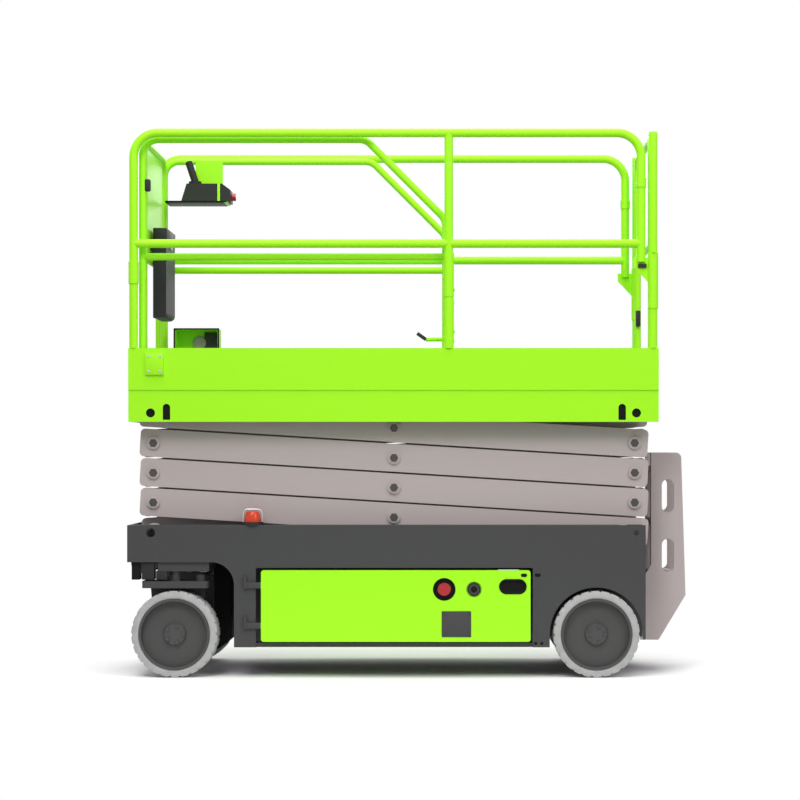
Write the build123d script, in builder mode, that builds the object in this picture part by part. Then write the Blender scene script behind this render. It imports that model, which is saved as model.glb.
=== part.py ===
"""Self-propelled electric scissor lift, stowed on its four wheels.

Millimetres, +Z up, origin on the floor under the middle of the machine.
-X is the front, with the steered wheels and the roll-out deck, +X the rear, with the ladder.
"near" is the -Y side, "far" the +Y side.
"""

import os
from math import asin, cos, hypot, radians, sin

from build123d import *

os.makedirs("parts", exist_ok=True)

# Driving dimensions: overall
HALF_WIDTH = 405
WHEELBASE = 1860
FRONT_AXLE_X = -1037
FRONT_OVERHANG = 209
REAR_OVERHANG = 217
LADDER_REACH = 206

# Driving dimensions: running gear
WHEEL_R = 190.5
TYRE_W = 127
RIM_R = 156
AXLE_R = 30
KINGPIN_R = 22
STEER_ARM = 110
TIE_ROD_R = 11

# Driving dimensions: chassis
CHASSIS_RISE = 290
SKIRT_H = 163
WELL_DEPTH = 125
FLOOR_T = 16
SIDE_INSET = 17
SIDE_T = 12
SILL_Z = 133
ARCH_CLEARANCE = 15.5
TRAY_SETBACK = 382
TRAY_L = 1187
TRAY_DEPTH = 182
TRAY_BOTTOM_Z = 158
TRAY_DROP = 198

# Driving dimensions: scissor stack
STAGES = 4
STAGE_RISE = 132
ARM_STACK_GAP = 8
ARM_T = 50
ARM_GAP = 8
ARM_OVERHANG = 60
STACK_INSET = 155
PIVOT_DROP = 33
FIXED_PIVOT_SETBACK = 41
FREE_PIVOT_SETBACK = 103.5
PIN_R = 20
LIFT_DEG = 53

# Driving dimensions: platform, with heights from the deck
PLATFORM_FRONT_SET = 6
PLATFORM_REAR_REACH = 98
PLATFORM_DROP = 39
PLATFORM_INSET = 20
DECK_RISE = 101
DECK_T = 12
TOE_H = 185
RAIL_H = 1153
MID_RAIL_H = 646
RAIL_TUBE_R = 19
THIN_TUBE_R = 16

# Clearances
RUNNING_FIT = 0.3
BOND_GAP = 0.25
PANEL_GAP = 5
TYRE_GAP = 12
WHEEL_SIDE_GAP = 26


def write(piece, name):
    """Label a finished piece and write it as one node."""
    piece.part.label = name
    export_step(piece.part, f"parts/{name}.step")


def side_plane(y):
    """Plane facing -Y at the given y, with local x along +X and local y along +Z."""
    return Plane(origin=(0, y, 0), x_dir=(1, 0, 0), z_dir=(0, -1, 0))


def outward(side, depth):
    """Extrusion from a side plane away from the centre line (side is -1 near, +1 far)."""
    return -side * depth


def between(side, inner, outer):
    """Span across the machine between two distances from the centre line, on one side."""
    return sorted((side * inner, side * outer))


def slab(x_span, y_span, z_span, mode=Mode.ADD):
    """Flat plate or block between two corners, inside the current part."""
    middle = [(low + high) / 2 for low, high in (x_span, y_span, z_span)]
    with Locations(tuple(middle)):
        Box(x_span[1] - x_span[0], y_span[1] - y_span[0], z_span[1] - z_span[0], mode=mode)


def tube(points, radius, bend):
    """Round tube along a chain of points, with every corner bent to the same radius."""
    with BuildLine() as route:
        FilletPolyline(*points, radius=bend)
    for run in route.edges():
        with BuildSketch(Plane(origin=run @ 0, z_dir=run % 0)) as section:
            Circle(radius)
        sweep(section.sketch, path=run)


def rod(start, end, radius, mode=Mode.ADD):
    """Straight round bar or bore from start to end."""
    run = Vector(*end) - Vector(*start)
    with BuildSketch(Plane(origin=start, z_dir=run)) as section:
        Circle(radius)
    extrude(section.sketch, amount=run.length, mode=mode)


SIDES = {"near": -1, "far": 1}

# Stations along the machine
rear_axle_x = FRONT_AXLE_X + WHEELBASE
chassis_front_x = FRONT_AXLE_X - FRONT_OVERHANG
chassis_rear_x = rear_axle_x + REAR_OVERHANG
ladder_rear_x = chassis_rear_x + LADDER_REACH
fixed_pivot_x = chassis_rear_x - FIXED_PIVOT_SETBACK
free_pivot_x = chassis_front_x + FREE_PIVOT_SETBACK
platform_front_x = chassis_front_x + PLATFORM_FRONT_SET
platform_rear_x = fixed_pivot_x + PLATFORM_REAR_REACH
tray_front_x = FRONT_AXLE_X + TRAY_SETBACK
tray_rear_x = tray_front_x + TRAY_L

# Distances from the centre line
wheel_y = HALF_WIDTH - TYRE_W / 2
side_outer_y = HALF_WIDTH - SIDE_INSET
side_inner_y = side_outer_y - SIDE_T
outer_arm_y = HALF_WIDTH - STACK_INSET
outer_arm_end_y = outer_arm_y + ARM_T
inner_arm_y = outer_arm_y - ARM_GAP - ARM_T
platform_side_y = HALF_WIDTH - PLATFORM_INSET

# Levels
chassis_top_z = 2 * WHEEL_R + CHASSIS_RISE
skirt_bottom_z = chassis_top_z - SKIRT_H
floor_top_z = chassis_top_z - WELL_DEPTH
floor_bottom_z = floor_top_z - FLOOR_T
tray_top_z = chassis_top_z - TRAY_DROP
base_pivot_z = chassis_top_z - PIVOT_DROP
deck_pivot_z = base_pivot_z + STAGES * STAGE_RISE
platform_bottom_z = deck_pivot_z - PLATFORM_DROP
deck_top_z = deck_pivot_z + DECK_RISE
deck_bottom_z = deck_top_z - DECK_T
toe_top_z = deck_top_z + TOE_H
rail_mid_z = deck_top_z + MID_RAIL_H
rail_top_z = deck_top_z + RAIL_H - RAIL_TUBE_R

# The stack's geometry at rest and lifted
stack_span = fixed_pivot_x - free_pivot_x
arm_pitch = hypot(stack_span, STAGE_RISE)
arm_lean = asin(STAGE_RISE / arm_pitch)
lifted_lean = arm_lean + radians(LIFT_DEG)
arm_h = STAGE_RISE - ARM_STACK_GAP

# Wheels: solid tyre bonded on a dished steel rim with a closed hub
RIM_BARREL_T = 10
RIM_WEB_T = 14
RIM_DISH = 30
HUB_R = 52
HUB_CAP = 6
TYRE_TAPER = 7
AXLE_END = 40


def wheel_plane(x, side):
    """Half-section plane through a wheel: local x points outboard, local y up the radius."""
    return Plane(origin=(x, side * wheel_y, WHEEL_R), x_dir=(0, side, 0), z_dir=(side, 0, 0))


def wheel_axis(x, side):
    return Axis((x, side * wheel_y, WHEEL_R), (0, 1, 0))


def make_tyre(x, side):
    half = TYRE_W / 2
    bore = RIM_R + BOND_GAP
    with BuildPart() as tyre:
        with BuildSketch(wheel_plane(x, side)):
            with BuildLine():
                Polyline(
                    (-half, bore), (half, bore), (half - TYRE_TAPER, WHEEL_R),
                    (TYRE_TAPER - half, WHEEL_R), close=True,
                )
            make_face()
        revolve(axis=wheel_axis(x, side))
    return tyre


def make_rim(x, side):
    half = TYRE_W / 2
    web_outer = half - RIM_DISH
    web_inner = web_outer - RIM_WEB_T
    barrel = RIM_R - RIM_BARREL_T
    bore = AXLE_R + RUNNING_FIT
    hub_face = AXLE_END + HUB_CAP
    with BuildPart() as rim:
        with BuildSketch(wheel_plane(x, side)):
            with BuildLine():
                Polyline(
                    (-half, barrel), (-half, RIM_R), (half, RIM_R), (half, barrel),
                    (web_outer, barrel), (web_outer, HUB_R), (hub_face, HUB_R - HUB_CAP),
                    (hub_face, 0), (AXLE_END + RUNNING_FIT, 0), (AXLE_END + RUNNING_FIT, bore),
                    (-half, bore), (-half, HUB_R), (web_inner, HUB_R), (web_inner, barrel), close=True,
                )
            make_face()
        revolve(axis=wheel_axis(x, side))
    return rim


for end, axle_x in (("front", FRONT_AXLE_X), ("rear", rear_axle_x)):
    for place, side in SIDES.items():
        write(make_tyre(axle_x, side), f"tyre_{end}_{place}")
        write(make_rim(axle_x, side), f"rim_{end}_{place}")

# Steering knuckles: a bracket over each front tyre, with its kingpin, stub axle and tie-rod pin
YOKE_T = 30
YOKE_HALF_L = 146
YOKE_REACH = 42
YOKE_CORNER_R = 18
YOKE_WALL_T = 18
YOKE_WALL_GAP = 10
YOKE_WALL_HALF_L = 126
YOKE_FOOT_Z = 84
YOKE_FOOT_HALF_L = 96
MOTOR_R = 72
MOTOR_L = 90
MOTOR_CHAMFER = 10
TIE_PIN_R = 8
TIE_PIN_STAND = 6
TIE_EYE_R = 20
TIE_EYE_H = 28
BEAM_GAP = 10
BEAM_FRONT_L = 75
BEAM_REAR_L = 150

yoke_bottom_z = 2 * WHEEL_R + TYRE_GAP
yoke_top_z = yoke_bottom_z + YOKE_T
yoke_wall_y = wheel_y - TYRE_W / 2 - YOKE_WALL_GAP - YOKE_WALL_T
kingpin_top_z = floor_bottom_z - RUNNING_FIT
tie_rod_x = FRONT_AXLE_X + STEER_ARM
tie_rod_z = yoke_top_z + RUNNING_FIT + TIE_EYE_H / 2
tie_pin_top_z = tie_rod_z + TIE_EYE_H / 2 + TIE_PIN_STAND
beam_bottom_z = tie_pin_top_z + BEAM_GAP


def make_knuckle(side):
    wall_outer = yoke_wall_y + YOKE_WALL_T
    yoke_outer = wheel_y + YOKE_REACH
    with BuildPart() as knuckle:
        with BuildSketch(Plane.XY.offset(yoke_bottom_z)):
            with Locations((FRONT_AXLE_X, side * (yoke_wall_y + yoke_outer) / 2)):
                RectangleRounded(2 * YOKE_HALF_L, yoke_outer - yoke_wall_y, YOKE_CORNER_R)
        extrude(amount=YOKE_T)
        with BuildSketch(side_plane(side * yoke_wall_y)):
            with BuildLine():
                Polyline(
                    (FRONT_AXLE_X - YOKE_FOOT_HALF_L, YOKE_FOOT_Z),
                    (FRONT_AXLE_X + YOKE_FOOT_HALF_L, YOKE_FOOT_Z),
                    (FRONT_AXLE_X + YOKE_WALL_HALF_L, yoke_top_z),
                    (FRONT_AXLE_X - YOKE_WALL_HALF_L, yoke_top_z), close=True,
                )
            make_face()
        extrude(amount=outward(side, YOKE_WALL_T))
        axle_end = side * (wheel_y + AXLE_END)
        rod((FRONT_AXLE_X, side * wall_outer, WHEEL_R), (FRONT_AXLE_X, axle_end, WHEEL_R), AXLE_R)
        kingpin = (FRONT_AXLE_X, side * wheel_y)
        rod((*kingpin, yoke_top_z), (*kingpin, kingpin_top_z), KINGPIN_R)
        tie_pin = (tie_rod_x, side * wheel_y)
        rod((*tie_pin, yoke_top_z), (*tie_pin, tie_pin_top_z), TIE_PIN_R)
    return knuckle


def make_drive_motor(side):
    with BuildPart() as motor:
        seat = (FRONT_AXLE_X, side * yoke_wall_y, WHEEL_R)
        rod(seat, (FRONT_AXLE_X, side * (yoke_wall_y - MOTOR_L), WHEEL_R), MOTOR_R)
        rims = motor.edges().filter_by(GeomType.CIRCLE).sort_by(Axis.Y)
        chamfer(rims[0] if side > 0 else rims[-1], MOTOR_CHAMFER)
    return motor


for place, side in SIDES.items():
    write(make_knuckle(side), f"knuckle_{place}")
    write(make_drive_motor(side), f"drive_motor_{place}")

with BuildPart() as tie_rod:
    rod((tie_rod_x, -wheel_y, tie_rod_z), (tie_rod_x, wheel_y, tie_rod_z), TIE_ROD_R)
    for side in SIDES.values():
        eye_at = (tie_rod_x, side * wheel_y)
        rod((*eye_at, tie_rod_z - TIE_EYE_H / 2), (*eye_at, tie_rod_z + TIE_EYE_H / 2), TIE_EYE_R)
    for side in SIDES.values():
        eye_at = (tie_rod_x, side * wheel_y)
        bore = TIE_PIN_R + RUNNING_FIT
        rod((*eye_at, tie_rod_z - TIE_EYE_H), (*eye_at, tie_rod_z + TIE_EYE_H), bore, Mode.SUBTRACT)
write(tie_rod, "tie_rod")

# Chassis: welded centre frame with the open well for the stack, and a profiled side plate each side
PANEL_SET = 6
KEEL_GAP = 10
KEEL_FRONT_GAP = 115
KEEL_REAR_GAP = 211
KEEL_BOTTOM_Z = 140
KEEL_CHAMFER = 40
REAR_BOX_BOTTOM_Z = 167
FRONT_PLATE_T = 10
APRON_L = 124
APRON_H = 86
APRON_RAKE = 40
APRON_INSET = 12
LUG_T = 20
LUG_HALF_L = 34
TRACK_W = 48
ROLLER_R = 39.7
FLANGE_W = 58
FLANGE_T = 10

panel_inner_y = side_outer_y - PANEL_SET
tray_inner_y = panel_inner_y - TRAY_DEPTH
keel_half_w = tray_inner_y - KEEL_GAP
rear_box_half_w = HALF_WIDTH - TYRE_W - WHEEL_SIDE_GAP
keel_front_x = tray_front_x - KEEL_FRONT_GAP
keel_rear_x = rear_axle_x - KEEL_REAR_GAP
lug_y = outer_arm_end_y + PANEL_GAP
roller_end_x = fixed_pivot_x - arm_pitch * cos(lifted_lean)
track_top_z = base_pivot_z - ROLLER_R - RUNNING_FIT
track_span = (free_pivot_x - ARM_OVERHANG, roller_end_x + ROLLER_R)
shell_front_x = chassis_front_x + FRONT_PLATE_T

with BuildPart() as chassis_frame:
    slab((shell_front_x, chassis_rear_x), (-side_inner_y, side_inner_y), (floor_bottom_z, floor_top_z))
    with BuildSketch(side_plane(keel_half_w)):
        with BuildLine():
            Polyline(
                (keel_front_x, floor_bottom_z), (keel_front_x, KEEL_BOTTOM_Z + KEEL_CHAMFER),
                (keel_front_x + KEEL_CHAMFER, KEEL_BOTTOM_Z), (keel_rear_x, KEEL_BOTTOM_Z),
                (keel_rear_x, floor_bottom_z), close=True,
            )
        make_face()
    extrude(amount=2 * keel_half_w)
    slab((keel_rear_x, chassis_rear_x), (-rear_box_half_w, rear_box_half_w),
         (REAR_BOX_BOTTOM_Z, floor_bottom_z))
    slab((chassis_front_x, shell_front_x), (-side_outer_y, side_outer_y), (skirt_bottom_z, chassis_top_z))
    with BuildSketch(side_plane(side_inner_y - APRON_INSET)):
        with BuildLine():
            apron_bottom_z = floor_bottom_z - APRON_H
            Polyline(
                (shell_front_x, floor_bottom_z), (shell_front_x + APRON_INSET, apron_bottom_z),
                (shell_front_x + APRON_L, apron_bottom_z + APRON_RAKE),
                (shell_front_x + APRON_L, floor_bottom_z), close=True,
            )
        make_face()
    extrude(amount=2 * (side_inner_y - APRON_INSET))
    slab((FRONT_AXLE_X - BEAM_FRONT_L, FRONT_AXLE_X + BEAM_REAR_L), (-side_inner_y, side_inner_y),
         (beam_bottom_z, floor_bottom_z))
    for side in SIDES.values():
        kingpin = (FRONT_AXLE_X, side * wheel_y)
        bore = KINGPIN_R + RUNNING_FIT
        rod((*kingpin, beam_bottom_z), (*kingpin, floor_bottom_z), bore, Mode.SUBTRACT)
        slab(track_span, between(side, outer_arm_y, outer_arm_y + TRACK_W), (floor_top_z, track_top_z))
        with BuildSketch(side_plane(side * lug_y)):
            with BuildLine():
                Polyline(
                    (fixed_pivot_x - 2 * LUG_HALF_L, floor_top_z), (chassis_rear_x, floor_top_z),
                    (fixed_pivot_x + LUG_HALF_L, chassis_top_z),
                    (fixed_pivot_x - LUG_HALF_L, chassis_top_z), close=True,
                )
            make_face()
        extrude(amount=outward(side, LUG_T))
        pivot = (fixed_pivot_x, side * (outer_arm_y - RUNNING_FIT), base_pivot_z)
        rod(pivot, (fixed_pivot_x, side * lug_y, base_pivot_z), PIN_R)
write(chassis_frame, "chassis_frame")

# Side plates: skirt over the wheels, tray window, rear wheel arch, tie-down holes
WINDOW_GAP = 10
WINDOW_FRONT_GAP = 24
LEG_W = 96
SKIRT_FILLET = 100
REAR_LEG_BOTTOM_Z = 167
TIE_HOLE_R = 20
SMALL_HOLE_R = 12
HINGE_STAND = 8
HINGE_SETBACK = 70
HINGE_R = 7
HINGE_H = 26
HINGE_LOW_RISE = 84
HINGE_HIGH_DROP = 53

window_front_x = tray_front_x - WINDOW_FRONT_GAP
window_rear_x = tray_rear_x + WINDOW_GAP
window_top_z = tray_top_z + WINDOW_GAP
leg_front_x = window_front_x - LEG_W
hinge_axis_x = tray_front_x - HINGE_SETBACK
hinge_axis_y = side_outer_y + HINGE_STAND
hinge_levels = (TRAY_BOTTOM_Z + HINGE_LOW_RISE, tray_top_z - HINGE_HIGH_DROP)


def make_chassis_side(side):
    arch_r = WHEEL_R + ARCH_CLEARANCE
    with BuildPart() as plate:
        with BuildSketch(side_plane(side * side_inner_y)) as outline:
            with BuildLine():
                skirt_corner = (leg_front_x, skirt_bottom_z)
                Polyline(
                    (FRONT_AXLE_X, chassis_top_z), (chassis_rear_x, chassis_top_z),
                    (chassis_rear_x, REAR_LEG_BOTTOM_Z), (rear_axle_x, REAR_LEG_BOTTOM_Z),
                    (rear_axle_x, SILL_Z), (window_rear_x, SILL_Z), (window_rear_x, window_top_z),
                    (window_front_x, window_top_z), (window_front_x, SILL_Z), (leg_front_x, SILL_Z),
                    skirt_corner, (FRONT_AXLE_X, skirt_bottom_z), close=True,
                )
            make_face()
            fillet(outline.vertices().sort_by_distance((*skirt_corner, 0))[0], SKIRT_FILLET)
            with Locations((rear_axle_x, WHEEL_R)):
                Circle(arch_r, mode=Mode.SUBTRACT)
            with Locations((rear_axle_x, 0)):
                Rectangle(2 * arch_r, 2 * WHEEL_R, mode=Mode.SUBTRACT)
            with Locations((fixed_pivot_x, base_pivot_z)):
                Circle(SMALL_HOLE_R, mode=Mode.SUBTRACT)
        extrude(amount=outward(side, SIDE_T))
        flange_rear_x = fixed_pivot_x - 2 * LUG_HALF_L - PANEL_GAP
        slab((FRONT_AXLE_X, flange_rear_x), between(side, side_inner_y - FLANGE_W, side_inner_y),
             (chassis_top_z - FLANGE_T, chassis_top_z))
        for level in hinge_levels:
            axis = (hinge_axis_x, side * hinge_axis_y)
            rod((*axis, level), (*axis, level + HINGE_H), HINGE_R)
            slab((hinge_axis_x - HINGE_R, hinge_axis_x), between(side, side_inner_y, hinge_axis_y),
                 (level, level + HINGE_H))
    return plate


def make_front_skirt(side):
    """Front end of the side plate, butted on at the axle line, with the hole for a tie-down shackle."""
    with BuildPart() as skirt:
        with BuildSketch(side_plane(side * side_inner_y)):
            with Locations(((shell_front_x + FRONT_AXLE_X) / 2, (skirt_bottom_z + chassis_top_z) / 2)):
                Rectangle(FRONT_AXLE_X - shell_front_x, chassis_top_z - skirt_bottom_z)
            with Locations((free_pivot_x, base_pivot_z)):
                Circle(TIE_HOLE_R, mode=Mode.SUBTRACT)
        extrude(amount=outward(side, SIDE_T))
        slab((shell_front_x, FRONT_AXLE_X), between(side, side_inner_y - FLANGE_W, side_inner_y),
             (chassis_top_z - FLANGE_T, chassis_top_z))
    return skirt


with BuildPart() as rear_axles:
    for side in SIDES.values():
        root = (rear_axle_x, side * rear_box_half_w, WHEEL_R)
        flange_end = (rear_axle_x, side * (rear_box_half_w + YOKE_WALL_T), WHEEL_R)
        rod(root, flange_end, HUB_R)
        rod(flange_end, (rear_axle_x, side * (wheel_y + AXLE_END), WHEEL_R), AXLE_R)
write(rear_axles, "rear_axles")

# Swing-out trays: pan, cover panel and hinge straps, with the battery or power pack standing on it
PANEL_T = 16
PANEL_CORNER_R = 12
PAN_T = 8
PAN_RISE = 5
PAN_END_GAP = 25
PACK_GAP = 12
PACK_DROP = 33
PACK_EDGE_R = 6
CONTROL_DROP = 84
STOP_SETBACK, STOP_R, STOP_RECESS_R = 380, 28, 50
STOP_STEM_R = 14
KEY_SETBACK, KEY_R, KEY_RECESS_R = 249, 29, 34
PULL_SETBACK, PULL_DROP, PULL_L, PULL_H = 78, 72, 117, 62
RECESS = 10

panel_outer_y = panel_inner_y + PANEL_T
pan_bottom_z = TRAY_BOTTOM_Z + PAN_RISE
stop_x, key_x = tray_rear_x - STOP_SETBACK, tray_rear_x - KEY_SETBACK
control_z = tray_top_z - CONTROL_DROP
recess_y = panel_outer_y - RECESS


def make_tray(side):
    with BuildPart() as tray:
        with BuildSketch(side_plane(side * panel_inner_y)):
            with Locations(((tray_front_x + tray_rear_x) / 2, (TRAY_BOTTOM_Z + tray_top_z) / 2)):
                RectangleRounded(TRAY_L, tray_top_z - TRAY_BOTTOM_Z, PANEL_CORNER_R)
        extrude(amount=outward(side, PANEL_T))
        with BuildSketch(side_plane(side * panel_outer_y)):
            with Locations((tray_rear_x - PULL_SETBACK, tray_top_z - PULL_DROP)):
                SlotOverall(PULL_L, PULL_H)
            if side < 0:
                with Locations((stop_x, control_z)):
                    Circle(STOP_RECESS_R)
                with Locations((key_x, control_z)):
                    Circle(KEY_RECESS_R)
        extrude(amount=-outward(side, RECESS), mode=Mode.SUBTRACT)
        slab((tray_front_x, tray_rear_x - PAN_END_GAP), between(side, tray_inner_y, panel_inner_y),
             (pan_bottom_z, pan_bottom_z + PAN_T))
        for level in hinge_levels:
            axis = (hinge_axis_x, side * hinge_axis_y)
            low = level - RUNNING_FIT - HINGE_H
            rod((*axis, low), (*axis, low + HINGE_H), HINGE_R)
            slab((hinge_axis_x, tray_front_x + PANEL_CORNER_R),
                 between(side, side_outer_y + HINGE_STAND / 2, panel_outer_y), (low, low + HINGE_H))
    return tray


def make_power_pack(side):
    """Battery row on one side, hydraulic power unit on the other: one plain closed block each."""
    with BuildPart() as pack:
        slab((tray_front_x + PACK_GAP, tray_rear_x - PAN_END_GAP - PACK_GAP),
             between(side, tray_inner_y + PACK_GAP, panel_inner_y - PACK_GAP),
             (pan_bottom_z + PAN_T, tray_top_z - PACK_DROP))
        fillet(pack.edges().filter_by(Axis.Z), PACK_EDGE_R)
    return pack


GUARD_T = 15
GUARD_H = 19
GUARD_REAR_GAP = 233


def make_pothole_guard(side):
    outer = side_inner_y - RUNNING_FIT
    with BuildPart() as guard:
        slab((leg_front_x + PANEL_GAP, rear_axle_x - GUARD_REAR_GAP), between(side, outer - GUARD_T, outer),
             (SILL_Z, SILL_Z + GUARD_H))
    return guard


for place, side in SIDES.items():
    write(make_chassis_side(side), f"chassis_side_{place}")
    write(make_front_skirt(side), f"front_skirt_{place}")
    write(make_tray(side), f"tray_{place}")
    write(make_power_pack(side), f"power_pack_{place}")
    write(make_pothole_guard(side), f"pothole_guard_{place}")

with BuildPart() as ground_stop:
    head = (stop_x, -(panel_outer_y - RECESS / 2), control_z)
    rod((stop_x, -recess_y, control_z), head, STOP_STEM_R)
    rod(head, (stop_x, -HALF_WIDTH, control_z), STOP_R)
write(ground_stop, "ground_stop")

with BuildPart() as ground_key:
    rod((key_x, -recess_y, control_z), (key_x, -panel_outer_y, control_z), KEY_R)
write(ground_key, "ground_key_switch")

# Beacon on the chassis flange
BEACON_SETBACK, BEACON_INSET = 41, 35
BEACON_R = 38
BEACON_BASE_R = 46
BEACON_BASE_H = 14
BEACON_H = 62
BEACON_CHAMFER = 12

beacon_at = (tray_front_x - BEACON_SETBACK, BEACON_INSET - side_outer_y)
beacon_seat_z = chassis_top_z + BEACON_BASE_H

with BuildPart() as beacon_base:
    rod((*beacon_at, chassis_top_z), (*beacon_at, beacon_seat_z), BEACON_BASE_R)
write(beacon_base, "beacon_base")

with BuildPart() as beacon_dome:
    rod((*beacon_at, beacon_seat_z), (*beacon_at, chassis_top_z + BEACON_H), BEACON_R)
    chamfer(beacon_dome.edges().filter_by(GeomType.CIRCLE).sort_by(Axis.Z)[-1], BEACON_CHAMFER)
write(beacon_dome, "beacon_dome")

# Ladder: two profiled cheek plates with hand holds and folded front edges, and treads between them
LADDER_HALF_W = 140
CHEEK_T = 8
CHEEK_FOLD_W = 34
LADDER_TOP_RISE = 320
LADDER_BOTTOM_Z = 142
LADDER_NECK_GAP = 50
LADDER_FOOT_REACH = 84
LADDER_SHOULDER_REACH = 186
LADDER_KNEE_Z = 345
LADDER_HEEL_Z = 400
LADDER_NECK_Z = 482
LADDER_TOP_R = 25
SLOT_REACH, SLOT_W, SLOT_L = 126, 55, 150
SLOT_DROPS = (196, 466)
TREAD_PITCH = 240
TREAD_FIRST_Z = 180
TREAD_COUNT = 4
TREAD_T = 30
TREAD_SETBACK = 20

ladder_top_z = chassis_top_z + LADDER_TOP_RISE
ladder_neck_x = chassis_rear_x + LADDER_NECK_GAP
ladder_foot_x = chassis_rear_x + LADDER_FOOT_REACH
ladder_shoulder_x = chassis_rear_x + LADDER_SHOULDER_REACH
cheek_inner_y = LADDER_HALF_W - CHEEK_T


def tread_span(level):
    """Front and rear edge of a tread, kept inside the outline of the cheeks."""
    if level > LADDER_HEEL_Z:
        return ladder_neck_x, ladder_shoulder_x - TREAD_SETBACK
    climb = (level - LADDER_BOTTOM_Z) / (LADDER_KNEE_Z - LADDER_BOTTOM_Z)
    toe_x = ladder_foot_x + climb * (ladder_rear_x - ladder_foot_x)
    return chassis_rear_x + TREAD_SETBACK, toe_x - TREAD_SETBACK


with BuildPart() as ladder:
    for side in SIDES.values():
        with BuildSketch(side_plane(side * cheek_inner_y)) as cheek:
            with BuildLine():
                top_corner = (ladder_shoulder_x, ladder_top_z)
                Polyline(
                    (ladder_neck_x, ladder_top_z), top_corner, (ladder_rear_x, LADDER_KNEE_Z),
                    (ladder_foot_x, LADDER_BOTTOM_Z), (chassis_rear_x, LADDER_BOTTOM_Z),
                    (chassis_rear_x, LADDER_HEEL_Z), (ladder_neck_x, LADDER_NECK_Z), close=True,
                )
            make_face()
            fillet(cheek.vertices().sort_by_distance((*top_corner, 0))[0], LADDER_TOP_R)
            for drop in SLOT_DROPS:
                with Locations((chassis_rear_x + SLOT_REACH, ladder_top_z - drop)):
                    SlotOverall(SLOT_L, SLOT_W, rotation=90, mode=Mode.SUBTRACT)
        extrude(amount=outward(side, CHEEK_T))
        slab((ladder_neck_x, ladder_neck_x + CHEEK_T),
             between(side, cheek_inner_y - CHEEK_FOLD_W, cheek_inner_y), (LADDER_NECK_Z, ladder_top_z))
    for step in range(TREAD_COUNT):
        level = TREAD_FIRST_Z + step * TREAD_PITCH
        slab(tread_span(level), (-cheek_inner_y, cheek_inner_y), (level, level + TREAD_T))
write(ladder, "ladder")

# Scissor stack: outer arm pairs, and inner arm frames that carry the cross tubes and the pivot pins
ARM_CORNER_R = 20
CROSS_INSET = 92.8
CROSS_R = 35
PIN_HEAD_R = 28
PIN_HEAD_T = 9
DECK_ROLLER_R = 35
DECK_ROLLER_GAP = 7
DECK_ROLLER_W = 35
CYLINDER_INSET = 372.8
BARREL_LUG = 95
ROD_LUG = 120
CYLINDER_LUG_T = 12
CYLINDER_LUG_W = 64
CYLINDER_PIN_R = 16
CYLINDER_EYE_HALF_W = 35
BARREL_STAGE = 0
ROD_STAGE = 2

half_pitch = arm_pitch / 2
cross_at = half_pitch - CROSS_INSET
cylinder_at = half_pitch - CYLINDER_INSET
centre_x = (fixed_pivot_x + free_pivot_x) / 2
arm_l = arm_pitch + 2 * ARM_OVERHANG
pin_head_y = outer_arm_end_y + RUNNING_FIT
deck_roller_y = outer_arm_end_y + DECK_ROLLER_GAP
cylinder_lug_y = CYLINDER_EYE_HALF_W + PANEL_GAP


def stage_centre_z(stage):
    return base_pivot_z + STAGE_RISE * (stage + 0.5)


def arm_plane(stage, y, rise):
    """Plane through an arm pair's middle, local x along the arm; rise is +1 for arms that climb rearwards."""
    along = (cos(arm_lean), 0, rise * sin(arm_lean))
    return Plane(origin=(centre_x, y, stage_centre_z(stage)), x_dir=along, z_dir=(0, -1, 0))


def on_arm(stage, y, rise, along, up=0.0):
    """Point on an arm at rest, from its own middle."""
    return tuple(arm_plane(stage, y, rise).from_local_coords(Vector(along, up, 0)))


def make_outer_arms(stage):
    top_stage = stage == STAGES - 1
    with BuildPart() as arms:
        for side in SIDES.values():
            with BuildSketch(arm_plane(stage, side * outer_arm_y, -1)):
                RectangleRounded(arm_l, arm_h, ARM_CORNER_R)
                pivots = (0, half_pitch) if top_stage else (-half_pitch, 0, half_pitch)
                with Locations(*[(pivot, 0) for pivot in pivots]):
                    Circle(PIN_R + RUNNING_FIT, mode=Mode.SUBTRACT)
            extrude(amount=outward(side, ARM_T))
            if top_stage:
                arm_face = on_arm(stage, side * outer_arm_end_y, -1, -half_pitch)
                wheel_face = on_arm(stage, side * deck_roller_y, -1, -half_pitch)
                wheel_end = on_arm(stage, side * (deck_roller_y + DECK_ROLLER_W), -1, -half_pitch)
                rod(arm_face, wheel_face, PIN_R)
                rod(wheel_face, wheel_end, DECK_ROLLER_R)
    return arms


def cylinder_lugs(stage, along, up, pin_inner_y):
    """Pair of lugs on a cross tube with the cylinder's pin, which may stop short of the eye between them."""
    for side in SIDES.values():
        with BuildSketch(arm_plane(stage, side * cylinder_lug_y, 1)) as lug:
            with Locations((along, up / 2)):
                SlotCenterToCenter(abs(up), CYLINDER_LUG_W, rotation=90)
        extrude(lug.sketch, amount=outward(side, CYLINDER_LUG_T))
        pin_start = on_arm(stage, side * pin_inner_y, 1, along, up)
        pin_end = on_arm(stage, side * (cylinder_lug_y + 2 * CYLINDER_LUG_T), 1, along, up)
        rod(pin_start, pin_end, CYLINDER_PIN_R)


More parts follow.
